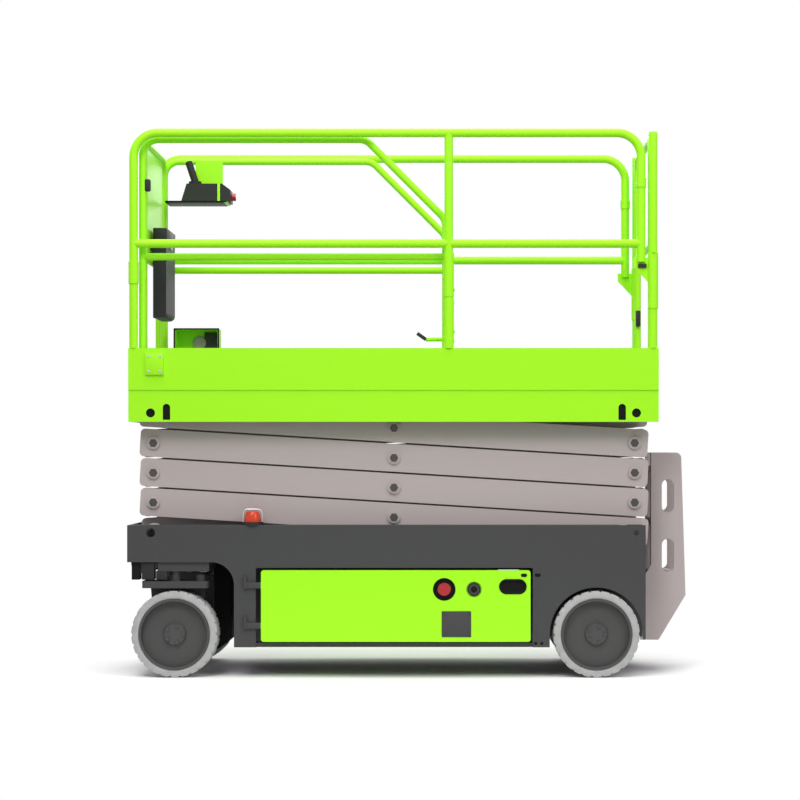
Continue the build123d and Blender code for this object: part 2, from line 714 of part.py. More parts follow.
def make_inner_arms(stage):
    with BuildPart() as arms:
        for side in SIDES.values():
            with BuildSketch(arm_plane(stage, side * inner_arm_y, 1)):
                RectangleRounded(arm_l, arm_h, ARM_CORNER_R)
            extrude(amount=outward(side, ARM_T))
            for along in (-half_pitch, 0, half_pitch):
                start = on_arm(stage, side * (inner_arm_y + ARM_T), 1, along)
                head = on_arm(stage, side * pin_head_y, 1, along)
                rod(start, head, PIN_R)
                rod(head, on_arm(stage, side * (pin_head_y + PIN_HEAD_T), 1, along), PIN_HEAD_R)
            if stage == 0:
                inside = on_arm(stage, side * (outer_arm_y + RUNNING_FIT), 1, -half_pitch)
                rod(inside, on_arm(stage, side * (outer_arm_y + TRACK_W), 1, -half_pitch), ROLLER_R)
        crossings = [-cross_at, cross_at]
        if stage == BARREL_STAGE:
            crossings = [-cross_at, cylinder_at]
            cylinder_lugs(stage, cylinder_at, BARREL_LUG, 0)
        if stage == ROD_STAGE:
            crossings = [-cylinder_at, cross_at]
            cylinder_lugs(stage, -cylinder_at, -ROD_LUG, CYLINDER_EYE_HALF_W + RUNNING_FIT)
        for along in crossings:
            rod(on_arm(stage, -inner_arm_y, 1, along), on_arm(stage, inner_arm_y, 1, along), CROSS_R)
    return arms


for stage in range(STAGES):
    write(make_outer_arms(stage), f"outer_arms_{stage + 1}")
    write(make_inner_arms(stage), f"inner_arms_{stage + 1}")

# Lift cylinder, from the lugs on the lowest inner frame to those on the third
BARREL_R = 48
ROD_R = 30
BARREL_START = 42
BARREL_FLOOR = 13
ROD_START = 70
ROD_SHOW = 130
ROD_EYE_R = 36

barrel_pin = Vector(*on_arm(BARREL_STAGE, 0, 1, cylinder_at, BARREL_LUG))
rod_pin = Vector(*on_arm(ROD_STAGE, 0, 1, -cylinder_at, -ROD_LUG))
cylinder_run = rod_pin - barrel_pin
cylinder_way = cylinder_run.normalized()
barrel_end = cylinder_run.length - ROD_SHOW


def on_cylinder(distance):
    return tuple(barrel_pin + cylinder_way * distance)


def eye(pin, radius, mode=Mode.ADD):
    half = Vector(0, CYLINDER_EYE_HALF_W, 0)
    rod(tuple(pin - half), tuple(pin + half), radius, mode)


with BuildPart() as cylinder_barrel:
    rod(on_cylinder(0), on_cylinder(BARREL_START), ROD_R)
    rod(on_cylinder(BARREL_START), on_cylinder(barrel_end), BARREL_R)
    eye(barrel_pin, ROD_EYE_R)
    eye(barrel_pin, CYLINDER_PIN_R + RUNNING_FIT, Mode.SUBTRACT)
    rod(on_cylinder(BARREL_START + BARREL_FLOOR), on_cylinder(barrel_end), ROD_R + RUNNING_FIT, Mode.SUBTRACT)
write(cylinder_barrel, "cylinder_barrel")

with BuildPart() as cylinder_rod:
    rod(on_cylinder(ROD_START), on_cylinder(cylinder_run.length - CYLINDER_PIN_R), ROD_R)
    eye(rod_pin, ROD_EYE_R)
    eye(rod_pin, CYLINDER_PIN_R + RUNNING_FIT, Mode.SUBTRACT)
write(cylinder_rod, "cylinder_rod")

# Platform: deck with its tracks and pivot lugs, tread plate, and a side channel with toe board each side
RIB_FIRST_X, RIB_PITCH, RIB_COUNT = 0, 300, 3
RIB_W = 40
RIB_H = 19
SIDE_CHANNEL_T = 8
TOE_T = 12
LIP_W = 22
LIP_T = 6
CHANNEL_FLANGE_W = 33
CHANNEL_SLOT_W, CHANNEL_SLOT_H = 33, 80
FRONT_SLOT_GAP, REAR_SLOT_GAP = 70.5, 63
CHANNEL_HOLE_R = 20
DECK_LUG_T = 20
DECK_LUG_DROP = 32
DECK_LUG_HALF_L = 45

deck_track_z = deck_pivot_z + DECK_ROLLER_R + RUNNING_FIT
platform_span = (platform_front_x, platform_rear_x)

with BuildPart() as platform_deck:
    whole_width = (-platform_side_y, platform_side_y)
    slab(platform_span, whole_width, (deck_bottom_z, deck_top_z))
    slab((platform_front_x, platform_front_x + DECK_T), whole_width, (platform_bottom_z, deck_bottom_z))
    for rib in range(RIB_COUNT):
        rib_x = RIB_FIRST_X + rib * RIB_PITCH
        slab((rib_x, rib_x + RIB_W), whole_width, (deck_bottom_z - RIB_H, deck_bottom_z))
    for side in SIDES.values():
        slab(track_span, between(side, deck_roller_y, deck_roller_y + DECK_ROLLER_W),
             (deck_track_z, deck_bottom_z))
        with BuildSketch(side_plane(side * (outer_arm_end_y - DECK_LUG_T))):
            with BuildLine():
                lug_bottom_z = deck_pivot_z - DECK_LUG_DROP
                Polyline(
                    (fixed_pivot_x - 2 * DECK_LUG_HALF_L, deck_bottom_z),
                    (fixed_pivot_x - DECK_LUG_HALF_L, lug_bottom_z),
                    (fixed_pivot_x + DECK_LUG_HALF_L, lug_bottom_z),
                    (platform_rear_x, deck_bottom_z), close=True,
                )
            make_face()
            with Locations((fixed_pivot_x, deck_pivot_z)):
                Circle(PIN_R + RUNNING_FIT, mode=Mode.SUBTRACT)
        extrude(amount=outward(side, DECK_LUG_T))
write(platform_deck, "platform_deck")


def make_platform_side(side):
    with BuildPart() as panel:
        with BuildSketch(side_plane(side * platform_side_y)):
            middle_x = (platform_front_x + platform_rear_x) / 2
            with Locations((middle_x, (platform_bottom_z + deck_top_z) / 2)):
                Rectangle(platform_rear_x - platform_front_x, deck_top_z - platform_bottom_z)
            with Locations((free_pivot_x, deck_pivot_z), (fixed_pivot_x, deck_pivot_z)):
                Circle(CHANNEL_HOLE_R, mode=Mode.SUBTRACT)
            with Locations((free_pivot_x + FRONT_SLOT_GAP, deck_pivot_z),
                           (fixed_pivot_x - REAR_SLOT_GAP, deck_pivot_z)):
                SlotOverall(CHANNEL_SLOT_H, CHANNEL_SLOT_W, rotation=90, mode=Mode.SUBTRACT)
        extrude(amount=outward(side, SIDE_CHANNEL_T))
        slab(platform_span, between(side, platform_side_y, platform_side_y + TOE_T), (deck_top_z, toe_top_z))
        slab(platform_span, between(side, platform_side_y - LIP_W, platform_side_y),
             (toe_top_z - LIP_T, toe_top_z))
        slab((platform_front_x + DECK_T, platform_rear_x),
             between(side, platform_side_y - CHANNEL_FLANGE_W, platform_side_y),
             (platform_bottom_z, platform_bottom_z + SIDE_CHANNEL_T))
    return panel


# Main guard rails: bent loop, mid rail, posts in their sockets, and the end post of the entry
RAIL_INSET = 2
RAIL_FRONT_SET = 22
RAIL_BEND = 106
RAIL_POST_REACH = 1390
END_POST_SET = 24
END_POST_DROP = 16
REAR_LEG_GAP = 53
REAR_LEG_DROP = 81
SLEEVE_R = 22.5
FRONT_SLEEVE = (284, 380)
POST_SOCKET_H = 220
POST_SLEEVE = (226, 420)
END_SOCKET = (175, 420)
REAR_COLLAR_RISE, REAR_COLLAR_L = 248, 40
GUSSET_BOTTOM_DROP, GUSSET_TOP_DROP = 193, 63
GUSSET_T = 8
GUSSET_OVERHANG = 35
GATE_HINGE_OFFSET = 36
GATE_PIN_R = 8
GATE_HINGE_H = 50
GATE_LOW_HINGE_RISE, GATE_HIGH_HINGE_DROP = 233, 240

rail_y = platform_side_y - RAIL_INSET
rail_front_x = platform_front_x + RAIL_FRONT_SET
rail_post_x = rail_front_x + RAIL_POST_REACH
end_post_x = platform_rear_x - END_POST_SET
end_post_top_z = deck_top_z + RAIL_H - END_POST_DROP
rail_rear_x = end_post_x - REAR_LEG_GAP
rear_leg_end_z = rail_mid_z - REAR_LEG_DROP
gate_axis_y = rail_y - GATE_HINGE_OFFSET
gate_hinge_levels = (deck_top_z + GATE_LOW_HINGE_RISE, deck_top_z + RAIL_H - GATE_HIGH_HINGE_DROP)


def make_main_rail(side):
    y = side * rail_y

    def upright(x, low, high, radius):
        rod((x, y, low), (x, y, high), radius)

    with BuildPart() as rail:
        loop = [
            (rail_front_x, y, toe_top_z), (rail_front_x, y, rail_top_z),
            (rail_rear_x, y, rail_top_z), (rail_rear_x, y, rear_leg_end_z),
        ]
        tube(loop, RAIL_TUBE_R, RAIL_BEND)
        rod((rail_front_x, y, rail_mid_z), (rail_rear_x, y, rail_mid_z), RAIL_TUBE_R)
        upright(rail_post_x, toe_top_z, rail_top_z, RAIL_TUBE_R)
        upright(end_post_x, toe_top_z, end_post_top_z, RAIL_TUBE_R)
        upright(rail_front_x, toe_top_z + FRONT_SLEEVE[0], toe_top_z + FRONT_SLEEVE[1], SLEEVE_R)
        upright(rail_post_x, toe_top_z, toe_top_z + POST_SOCKET_H, SLEEVE_R)
        upright(rail_post_x, toe_top_z + POST_SLEEVE[0], toe_top_z + POST_SLEEVE[1], SLEEVE_R)
        upright(end_post_x, toe_top_z + END_SOCKET[0], toe_top_z + END_SOCKET[1], SLEEVE_R)
        collar_z = rail_mid_z + REAR_COLLAR_RISE
        upright(rail_rear_x, collar_z, collar_z + REAR_COLLAR_L, SLEEVE_R)
        with BuildSketch(side_plane(y + GUSSET_T / 2)) as gusset:
            with BuildLine():
                gusset_top_z = rail_mid_z - GUSSET_TOP_DROP
                gusset_front_x = rail_rear_x - GUSSET_OVERHANG
                Polyline(
                    (end_post_x, rail_mid_z - GUSSET_BOTTOM_DROP), (end_post_x, gusset_top_z),
                    (gusset_front_x, gusset_top_z), (gusset_front_x, rear_leg_end_z - RAIL_TUBE_R),
                    close=True,
                )
            make_face()
        extrude(gusset.sketch, amount=GUSSET_T)
        if side > 0:
            for level in gate_hinge_levels:
                axis = (end_post_x, gate_axis_y)
                rod((*axis, level), (*axis, level + 2 * GATE_HINGE_H), GATE_PIN_R)
                slab((end_post_x - GATE_PIN_R, end_post_x + GATE_PIN_R), (gate_axis_y, y),
                     (level, level + GATE_HINGE_H))
    return rail


for place, side in SIDES.items():
    write(make_platform_side(side), f"platform_side_{place}")
    write(make_main_rail(side), f"main_rail_{place}")

# Entry gate, hung on the far end post and latched to the near one
GATE_TOP_DROP = 35
GATE_KICK_RISE = 23
GATE_KICK_H = 150
GATE_KICK_T = 6
GATE_EYE_R = 14
GATE_BEND = 64
LATCH_RISE = 373
LATCH_H = 70
LATCH_T = 20

gate_upright_y = gate_axis_y - GATE_HINGE_OFFSET
gate_top_z = deck_top_z + RAIL_H - GATE_TOP_DROP
gate_bottom_z = deck_top_z + GATE_KICK_RISE

with BuildPart() as gate:
    frame_loop = [
        (end_post_x, -gate_upright_y, gate_bottom_z), (end_post_x, -gate_upright_y, gate_top_z),
        (end_post_x, gate_upright_y, gate_top_z), (end_post_x, gate_upright_y, gate_bottom_z),
    ]
    tube(frame_loop, THIN_TUBE_R, GATE_BEND)
    rod((end_post_x, -gate_upright_y, rail_mid_z), (end_post_x, gate_upright_y, rail_mid_z), THIN_TUBE_R)
    slab((end_post_x - GATE_KICK_T / 2, end_post_x + GATE_KICK_T / 2), (-gate_upright_y, gate_upright_y),
         (gate_bottom_z, gate_bottom_z + GATE_KICK_H))
    for level in gate_hinge_levels:
        low = level + GATE_HINGE_H + RUNNING_FIT
        axis = (end_post_x, gate_axis_y)
        rod((*axis, low), (*axis, low + GATE_HINGE_H), GATE_EYE_R)
        slab((end_post_x - GATE_PIN_R, end_post_x + GATE_PIN_R), (gate_upright_y, gate_axis_y),
             (low, low + GATE_HINGE_H))
        rod((*axis, low), (*axis, low + GATE_HINGE_H), GATE_PIN_R + RUNNING_FIT, Mode.SUBTRACT)
    latch_end = rail_y - SLEEVE_R - RUNNING_FIT
    latch_z = deck_top_z + LATCH_RISE
    slab((end_post_x - LATCH_T / 2, end_post_x + LATCH_T / 2), (-latch_end, -gate_upright_y),
         (latch_z, latch_z + LATCH_H))
write(gate, "gate")

# Roll-out deck extension: floor with toe boards, side rails, front guard and the fittings it carries
EXT_FRONT_SET = 8
EXT_FLOOR_T = 12
EXT_TOE_H = 153
EXT_TOE_T = 6
EXT_RAIL_INSET = 52
EXT_POST_SET = 46
EXT_REAR_POST_GAP = 14
EXT_REAR_REACH = 20
EXT_RAIL_DROP = 40
EXT_MID_DROP = 53
EXT_SLOPE_RUN, EXT_SLOPE_FALL = 354, 355
EXT_BEND = 70
FRONT_GUARD_DROP = 4
FRONT_PANEL_SET = 54
FRONT_PANEL_T = 4
TREAD_GAP = 7
TREAD_PLATE_T = 4
TREAD_PLATE_INSET = 30

ext_front_x = platform_front_x + EXT_FRONT_SET
ext_post_x = ext_front_x + EXT_POST_SET
ext_rear_post_x = rail_post_x - EXT_REAR_POST_GAP
ext_rear_x = ext_rear_post_x + EXT_REAR_REACH
ext_rail_y = rail_y - EXT_RAIL_INSET
ext_floor_z = deck_top_z + RUNNING_FIT
ext_floor_top_z = ext_floor_z + EXT_FLOOR_T
ext_toe_top_z = ext_floor_top_z + EXT_TOE_H
ext_toe_y = ext_rail_y + THIN_TUBE_R + RUNNING_FIT
ext_half_w = ext_toe_y + EXT_TOE_T
ext_top_z = deck_top_z + RAIL_H - EXT_RAIL_DROP
ext_mid_z = rail_mid_z - EXT_MID_DROP
front_guard_y = ext_rail_y - 2 * THIN_TUBE_R - RUNNING_FIT
front_guard_top_z = ext_top_z - FRONT_GUARD_DROP

with BuildPart() as deck_tread:
    tread_half_w = platform_side_y - TREAD_PLATE_INSET
    slab((ext_rear_x + TREAD_GAP, end_post_x - TREAD_PLATE_INSET), (-tread_half_w, tread_half_w),
         (deck_top_z, deck_top_z + TREAD_PLATE_T))
write(deck_tread, "deck_tread")

with BuildPart() as extension_deck:
    ext_span = (ext_front_x, ext_rear_x)
    slab(ext_span, (-ext_half_w, ext_half_w), (ext_floor_z, ext_floor_top_z))
    for side in SIDES.values():
        slab(ext_span, between(side, ext_toe_y, ext_half_w), (ext_floor_top_z, ext_toe_top_z))
    slab((ext_front_x, ext_front_x + EXT_TOE_T), (-ext_half_w, ext_half_w), (ext_floor_top_z, ext_toe_top_z))
write(extension_deck, "extension_deck")

# Deck lock on the near rail of the extension: an arm from the rear post, with a foot pedal on its end
LOCK_RISE = 214
LOCK_ARM_R = 9
LOCK_ARM_L = 88
PEDAL_L, PEDAL_W, PEDAL_T = 46, 44, 14
PEDAL_TILT = 35

lock_z = ext_floor_top_z + LOCK_RISE
lock_end_x = ext_rear_post_x - LOCK_ARM_L


def make_extension_rail(side):
    y = side * ext_rail_y
    with BuildPart() as rail:
        slope_z = ext_top_z - EXT_SLOPE_FALL
        loop = [
            (ext_post_x, y, ext_floor_top_z), (ext_post_x, y, ext_top_z),
            (ext_rear_post_x - EXT_SLOPE_RUN, y, ext_top_z),
            (ext_rear_post_x, y, slope_z), (ext_rear_post_x, y, ext_floor_top_z),
        ]
        tube(loop, THIN_TUBE_R, EXT_BEND)
        rod((ext_post_x, y, ext_mid_z), (ext_rear_post_x, y, ext_mid_z), THIN_TUBE_R)
        if side < 0:
            rod((ext_rear_post_x, y, lock_z), (lock_end_x, y, lock_z), LOCK_ARM_R)
    return rail


for place, side in SIDES.items():
    write(make_extension_rail(side), f"extension_rail_{place}")

with BuildPart() as deck_lock_pedal:
    with BuildSketch(side_plane(PEDAL_W / 2 - ext_rail_y)):
        with Locations((lock_end_x, lock_z)):
            with Locations(Rotation(0, 0, -PEDAL_TILT)):
                with Locations((-PEDAL_L / 2, 0)):
                    Rectangle(PEDAL_L, PEDAL_T)
    extrude(amount=PEDAL_W)
    rod((lock_end_x - PEDAL_T, -ext_rail_y, lock_z), (ext_rear_post_x, -ext_rail_y, lock_z),
        LOCK_ARM_R + RUNNING_FIT, Mode.SUBTRACT)
write(deck_lock_pedal, "deck_lock_pedal")

with BuildPart() as front_guard:
    loop = [
        (ext_post_x, -front_guard_y, ext_floor_top_z), (ext_post_x, -front_guard_y, front_guard_top_z),
        (ext_post_x, front_guard_y, front_guard_top_z), (ext_post_x, front_guard_y, ext_floor_top_z),
    ]
    tube(loop, THIN_TUBE_R, EXT_BEND)
    rod((ext_post_x, -front_guard_y, ext_mid_z), (ext_post_x, front_guard_y, ext_mid_z), THIN_TUBE_R)
    panel_half_w = front_guard_y - FRONT_PANEL_SET
    slab((ext_post_x - FRONT_PANEL_T / 2, ext_post_x + FRONT_PANEL_T / 2), (-panel_half_w, panel_half_w),
         (ext_mid_z, front_guard_top_z))
write(front_guard, "front_guard")

# Document box hung on the front guard
DOC_BOX_T = 60
DOC_BOX_HALF_W = 140
DOC_BOX_DROP, DOC_BOX_RISE = 257, 148
DOC_BOX_R = 24

with BuildPart() as document_box:
    back_x = ext_post_x + THIN_TUBE_R + RUNNING_FIT
    slab((back_x, back_x + DOC_BOX_T), (-DOC_BOX_HALF_W, DOC_BOX_HALF_W),
         (ext_mid_z - DOC_BOX_DROP, ext_mid_z + DOC_BOX_RISE))
    fillet(document_box.edges().filter_by(Axis.Y).group_by(Axis.X)[-1], DOC_BOX_R)
write(document_box, "document_box")

# Platform controls on the far extension rail: bracket, control box, joystick and stop button
BRACKET_GAP, BRACKET_L = 151, 130
BRACKET_T = 6
SHELF_GAP, SHELF_L = 26, 290
SHELF_DROP = 214
SHELF_DEPTH = 150
CONTROL_GAP, CONTROL_L = 96, 233
CONTROL_H = 86
CONTROL_DEPTH = 110
CONTROL_RAKE = 26
CONTROL_NOSE_L, CONTROL_NOSE_H = 40, 30
JOYSTICK_SETBACK = 60
JOYSTICK_R = 17
JOYSTICK_LEAN = 32
JOYSTICK_H = 112
GAITER_R, GAITER_H = 30, 16
JOYSTICK_CHAMFER = 5
CONTROL_STOP_R = 18
CONTROL_STOP_H = 22

bracket_x = ext_post_x + BRACKET_GAP
shelf_x = ext_post_x + SHELF_GAP
control_x = ext_post_x + CONTROL_GAP
control_rear_x = control_x + CONTROL_L
bracket_y = ext_rail_y - THIN_TUBE_R - RUNNING_FIT
control_y = bracket_y - BRACKET_T
control_middle_y = control_y - CONTROL_DEPTH / 2
shelf_z = ext_top_z - SHELF_DROP
shelf_top_z = shelf_z + BRACKET_T
control_top_z = shelf_top_z + CONTROL_H

with BuildPart() as control_bracket:
    slab((bracket_x, bracket_x + BRACKET_L), (control_y, bracket_y), (shelf_z, ext_top_z))
    slab((shelf_x, shelf_x + SHELF_L), (bracket_y - SHELF_DEPTH, bracket_y), (shelf_z, shelf_top_z))
write(control_bracket, "control_bracket")

with BuildPart() as control_box:
    with BuildSketch(side_plane(control_y)):
        with BuildLine():
            Polyline(
                (control_x, shelf_top_z), (control_rear_x, shelf_top_z),
                (control_rear_x, control_top_z - CONTROL_NOSE_H),
                (control_rear_x - CONTROL_NOSE_L, control_top_z),
                (control_x + CONTROL_RAKE, control_top_z), close=True,
            )
        make_face()
    extrude(amount=CONTROL_DEPTH)
write(control_box, "control_box")

with BuildPart() as joystick:
    stick_x = control_x + JOYSTICK_SETBACK
    gaiter_top = (stick_x, control_middle_y, control_top_z + GAITER_H)
    rod((stick_x, control_middle_y, control_top_z), gaiter_top, GAITER_R)
    rod(gaiter_top, (stick_x - JOYSTICK_LEAN, control_middle_y, control_top_z + JOYSTICK_H), JOYSTICK_R)
    chamfer(joystick.edges().filter_by(GeomType.CIRCLE).sort_by(Axis.Z)[-1], JOYSTICK_CHAMFER)
write(joystick, "joystick")

with BuildPart() as control_stop:
    button_z = shelf_top_z + (CONTROL_H - CONTROL_NOSE_H) / 2
    rod((control_rear_x, control_middle_y, button_z),
        (control_rear_x + CONTROL_STOP_H, control_middle_y, button_z), CONTROL_STOP_R)
write(control_stop, "control_stop")

# Power outlet housing on the extension floor, open towards the middle
OUTLET_GAP, OUTLET_L = 64, 208
OUTLET_DEPTH = 110
OUTLET_H = 294
OUTLET_WALL = 5

with BuildPart() as outlet_box:
    outlet_x = ext_post_x + OUTLET_GAP
    outlet_top_z = ext_floor_top_z + OUTLET_H
    outlet_front_y = bracket_y - OUTLET_DEPTH
    slab((outlet_x, outlet_x + OUTLET_L), (outlet_front_y, bracket_y), (ext_floor_top_z, outlet_top_z))
    slab((outlet_x + OUTLET_WALL, outlet_x + OUTLET_L - OUTLET_WALL),
         (outlet_front_y, bracket_y - OUTLET_WALL),
         (ext_floor_top_z + OUTLET_WALL, outlet_top_z - OUTLET_WALL), Mode.SUBTRACT)
write(outlet_box, "outlet_box")
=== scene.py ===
"""Looks of the electric scissor lift: finishes, small fittings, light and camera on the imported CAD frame.

Metres, +Z up, in the CAD's own frame: -X is the front of the machine, -Y the near side.
Places and sizes of the fittings are written in millimetres.
"""

from math import cos, pi, radians, sin, tau

import bmesh
import bpy
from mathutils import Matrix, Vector


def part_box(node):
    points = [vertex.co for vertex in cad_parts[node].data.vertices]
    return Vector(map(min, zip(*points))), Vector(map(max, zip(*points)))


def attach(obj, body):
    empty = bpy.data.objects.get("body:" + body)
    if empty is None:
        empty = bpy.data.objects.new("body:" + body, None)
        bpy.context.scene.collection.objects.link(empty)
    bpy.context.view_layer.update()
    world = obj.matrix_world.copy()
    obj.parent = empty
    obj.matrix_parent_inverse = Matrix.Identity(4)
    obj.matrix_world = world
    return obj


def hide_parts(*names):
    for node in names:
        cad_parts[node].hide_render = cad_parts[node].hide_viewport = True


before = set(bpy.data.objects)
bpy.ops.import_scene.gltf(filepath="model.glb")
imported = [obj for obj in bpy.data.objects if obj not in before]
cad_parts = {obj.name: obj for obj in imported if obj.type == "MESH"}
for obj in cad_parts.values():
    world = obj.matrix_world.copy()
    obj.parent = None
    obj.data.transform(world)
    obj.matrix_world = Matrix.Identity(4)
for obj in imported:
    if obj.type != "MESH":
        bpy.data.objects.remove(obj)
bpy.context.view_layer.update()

MM = 0.001
SIDES = {"near": -1, "far": 1}
NEAR, UP = (0, -1, 0), (0, 0, 1)


def linear(hex_code):
    """Linear RGBA of an sRGB hex value."""
    channels = [int(hex_code[place:place + 2], 16) / 255 for place in (1, 3, 5)]
    return [c / 12.92 if c <= 0.04045 else ((c + 0.055) / 1.055) ** 2.4 for c in channels] + [1.0]


def spot(x, y, z):
    """Place in the frame, given in mm."""
    return Vector((x, y, z)) * MM


def corners(node):
    """Low and high corner of a CAD node's box, in mm."""
    return [Vector(corner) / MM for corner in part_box(node)]


def centre(node):
    """Middle of a CAD node's box, in mm."""
    low, high = corners(node)
    return (low + high) / 2


def across(side, inner, outer):
    """Span in Y on one side of the machine, between two distances from its middle plane."""
    return sorted((side * inner, side * outer))


def add(tree, kind, inputs=None, **settings):
    """Add a node with its settings; each input is a value, or the output that it is linked from."""
    made = tree.nodes.new(kind)
    for name, value in settings.items():
        setattr(made, name, value)
    for socket, value in (inputs or {}).items():
        if isinstance(value, bpy.types.NodeSocket):
            tree.links.new(value, made.inputs[socket])
        else:
            made.inputs[socket].default_value = value
    return made


def new_finish(name, colour, roughness, **sockets):
    """Material with its constants on the shader's own sockets; returns it with its tree and shader."""
    material = bpy.data.materials.new(name)
    material.use_nodes = True
    tree = material.node_tree
    shader = tree.nodes["Principled BSDF"]
    shader.inputs["Base Color"].default_value = linear(colour)
    shader.inputs["Roughness"].default_value = roughness
    for socket, value in sockets.items():
        shader.inputs[socket.replace("_", " ")].default_value = value
    return material, tree, shader


def grain(tree, shader, size_mm, depth_mm, strength):
    """Fine relief of one grain size over the whole surface."""
    place = add(tree, "ShaderNodeTexCoord")
    noise = add(tree, "ShaderNodeTexNoise", {
        "Vector": place.outputs["Object"], "Scale": 1 / (size_mm * MM), "Detail": 3.0,
    })
    relief = add(tree, "ShaderNodeBump", {
        "Height": noise.outputs["Fac"], "Distance": depth_mm * MM, "Strength": strength,
    })
    tree.links.new(relief.outputs["Normal"], shader.inputs["Normal"])


def mottle(tree, shader, colours, size_mm, spread):
    """Slow change between two near colours, as handling and dust leave on a surface."""
    place = add(tree, "ShaderNodeTexCoord")
    noise = add(tree, "ShaderNodeTexNoise", {
        "Vector": place.outputs["Object"], "Scale": 1 / (size_mm * MM), "Detail": 4.0,
    })
    ramp = add(tree, "ShaderNodeValToRGB", {"Fac": noise.outputs["Fac"]})
    for stop, colour, position in zip(ramp.color_ramp.elements, colours, (0.5 - spread, 0.5 + spread)):
        stop.color = linear(colour)
        stop.position = position
    tree.links.new(ramp.outputs["Color"], shader.inputs["Base Color"])


# Powder coat on steel: an even semi-gloss skin with a faint orange peel, drawn coarser than life to show
lime_paint, tree, shader = new_finish(
    "lime powder coat on steel", "#A6F820", 0.42, Specular_IOR_Level=0.25)
grain(tree, shader, size_mm=6, depth_mm=0.12, strength=0.25)

charcoal_paint, tree, shader = new_finish(
    "charcoal powder coat on steel", "#454546", 0.55, Specular_IOR_Level=0.2)
grain(tree, shader, size_mm=5, depth_mm=0.12, strength=0.3)

warm_grey_paint, tree, shader = new_finish(
    "warm grey powder coat on steel", "#B9AEAD", 0.5, Specular_IOR_Level=0.25)
grain(tree, shader, size_mm=5, depth_mm=0.12, strength=0.3)

# Painted tread plate: satin grey, scuffed to a slightly uneven shade
deck_plate, tree, shader = new_finish("painted steel tread plate", "#8A8C8C", 0.55)
mottle(tree, shader, ("#7C7E7E", "#989A9A"), size_mm=160, spread=0.2)

# Solid non-marking rubber: pale, dull and slightly dusty
grey_rubber, tree, shader = new_finish("solid non-marking rubber", "#ACACAC", 0.85, Specular_IOR_Level=0.2)
mottle(tree, shader, ("#A4A4A3", "#B4B4B4"), size_mm=40, spread=0.25)

# Painted wheel disc: dark satin enamel with a faint orange peel, drawn coarser than life to show
wheel_paint, tree, shader = new_finish(
    "dark enamel on the wheel disc", "#4E4D4D", 0.5, Specular_IOR_Level=0.2)
grain(tree, shader, size_mm=5, depth_mm=0.1, strength=0.3)

# Moulded ABS: black, with the spark-eroded grain of the mould, drawn coarser than life to show
black_housing, tree, shader = new_finish("moulded black ABS", "#262627", 0.55, Specular_IOR_Level=0.25)
grain(tree, shader, size_mm=1.5, depth_mm=0.1, strength=0.35)

# Moulded polycarbonate: glossy red mushroom buttons
red_button, _, _ = new_finish("moulded red polycarbonate", "#AC1D25", 0.3)

# Tinted polycarbonate lens: saturated orange with a bright skin
amber_lens, _, _ = new_finish("amber polycarbonate lens", "#CC3C1A", 0.25, Specular_IOR_Level=0.35)

# Cylinder barrel: black enamel straight on the honed tube
cylinder_paint, _, _ = new_finish("black enamel on the cylinder", "#3C3D3F", 0.35)

# Hard chrome on the ram: bright and nearly mirror smooth
chromed_rod, _, _ = new_finish("hard chrome on the ram", "#D8DADC", 0.12, Metallic=1.0)

# Zinc plate on fasteners and small fittings: pale, soft metal shine
zinc_plate, _, _ = new_finish("zinc plate on steel", "#BFC1C3", 0.38, Metallic=0.9)

# Phosphated steel: dark, oily pin ends
dark_steel, _, _ = new_finish("phosphated steel", "#454343", 0.45, Metallic=0.3)

# Moulded EPDM seals and plugs: black and dull
black_rubber, _, _ = new_finish("moulded EPDM rubber", "#0C0C0D", 0.8, Specular_IOR_Level=0.2)

# Display window: near black with a clear hard skin
dark_glass, _, _ = new_finish("smoked acrylic window", "#15181A", 0.08, Coat_Weight=0.5)

FINISHES = {
    "lime_paint": lime_paint, "charcoal_paint": charcoal_paint, "warm_grey_paint": warm_grey_paint,
    "deck_plate": deck_plate, "grey_rubber": grey_rubber, "wheel_paint": wheel_paint,
    "black_housing": black_housing, "red_button": red_button, "amber_lens": amber_lens,
    "cylinder_paint": cylinder_paint, "chromed_rod": chromed_rod,
}

for cad_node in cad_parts.values():
    for place in cad_node.material_slots:
        place.material = FINISHES[place.material.name.split(".")[0]]

# Plain pieces: each is one mesh with its place in it, carried by one CAD body
EDGE_ANGLE = radians(35)
ROUND_SIDES = 40
WELD = 0.01 * MM


def dress(mesh, data):
    """Write a mesh to its data with every face turned outwards, smooth up to its edges."""
    bmesh.ops.recalc_face_normals(mesh, faces=mesh.faces[:])
    mesh.to_mesh(data)
    mesh.free()
    data.shade_smooth()
    data.set_sharp_from_angle(angle=EDGE_ANGLE)


def keep(name, mesh, finish, body):
    """Turn a finished mesh into a piece of the part that rides on a body."""
    data = bpy.data.meshes.new(name)
    dress(mesh, data)
    data.materials.append(finish)
    piece = bpy.data.objects.new(name, data)
    bpy.context.scene.collection.objects.link(piece)
    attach(piece, body)
    return piece


def slab(name, x, y, z, edge, finish, body):
    """Box over three spans in mm, with its edges broken."""
    mesh = bmesh.new()
    bmesh.ops.create_cube(mesh, size=1.0)
    low, high = (spot(*corner) for corner in zip(x, y, z))
    for corner in mesh.verts:
        corner.co = [lo + (hi - lo) * (c + 0.5) for c, lo, hi in zip(corner.co, low, high)]
    bmesh.ops.bevel(mesh, geom=mesh.edges[:], offset=edge * MM, segments=2, profile=0.5, affect="EDGES")
    return keep(name, mesh, finish, body)


def round_ring(at, axis, radius):
    """Circle of points about an axis."""
    turn = Vector(UP).rotation_difference(axis)
    steps = [tau * k / ROUND_SIDES for k in range(ROUND_SIDES)]
    return [at + turn @ Vector((radius * cos(a), radius * sin(a), 0)) for a in steps]


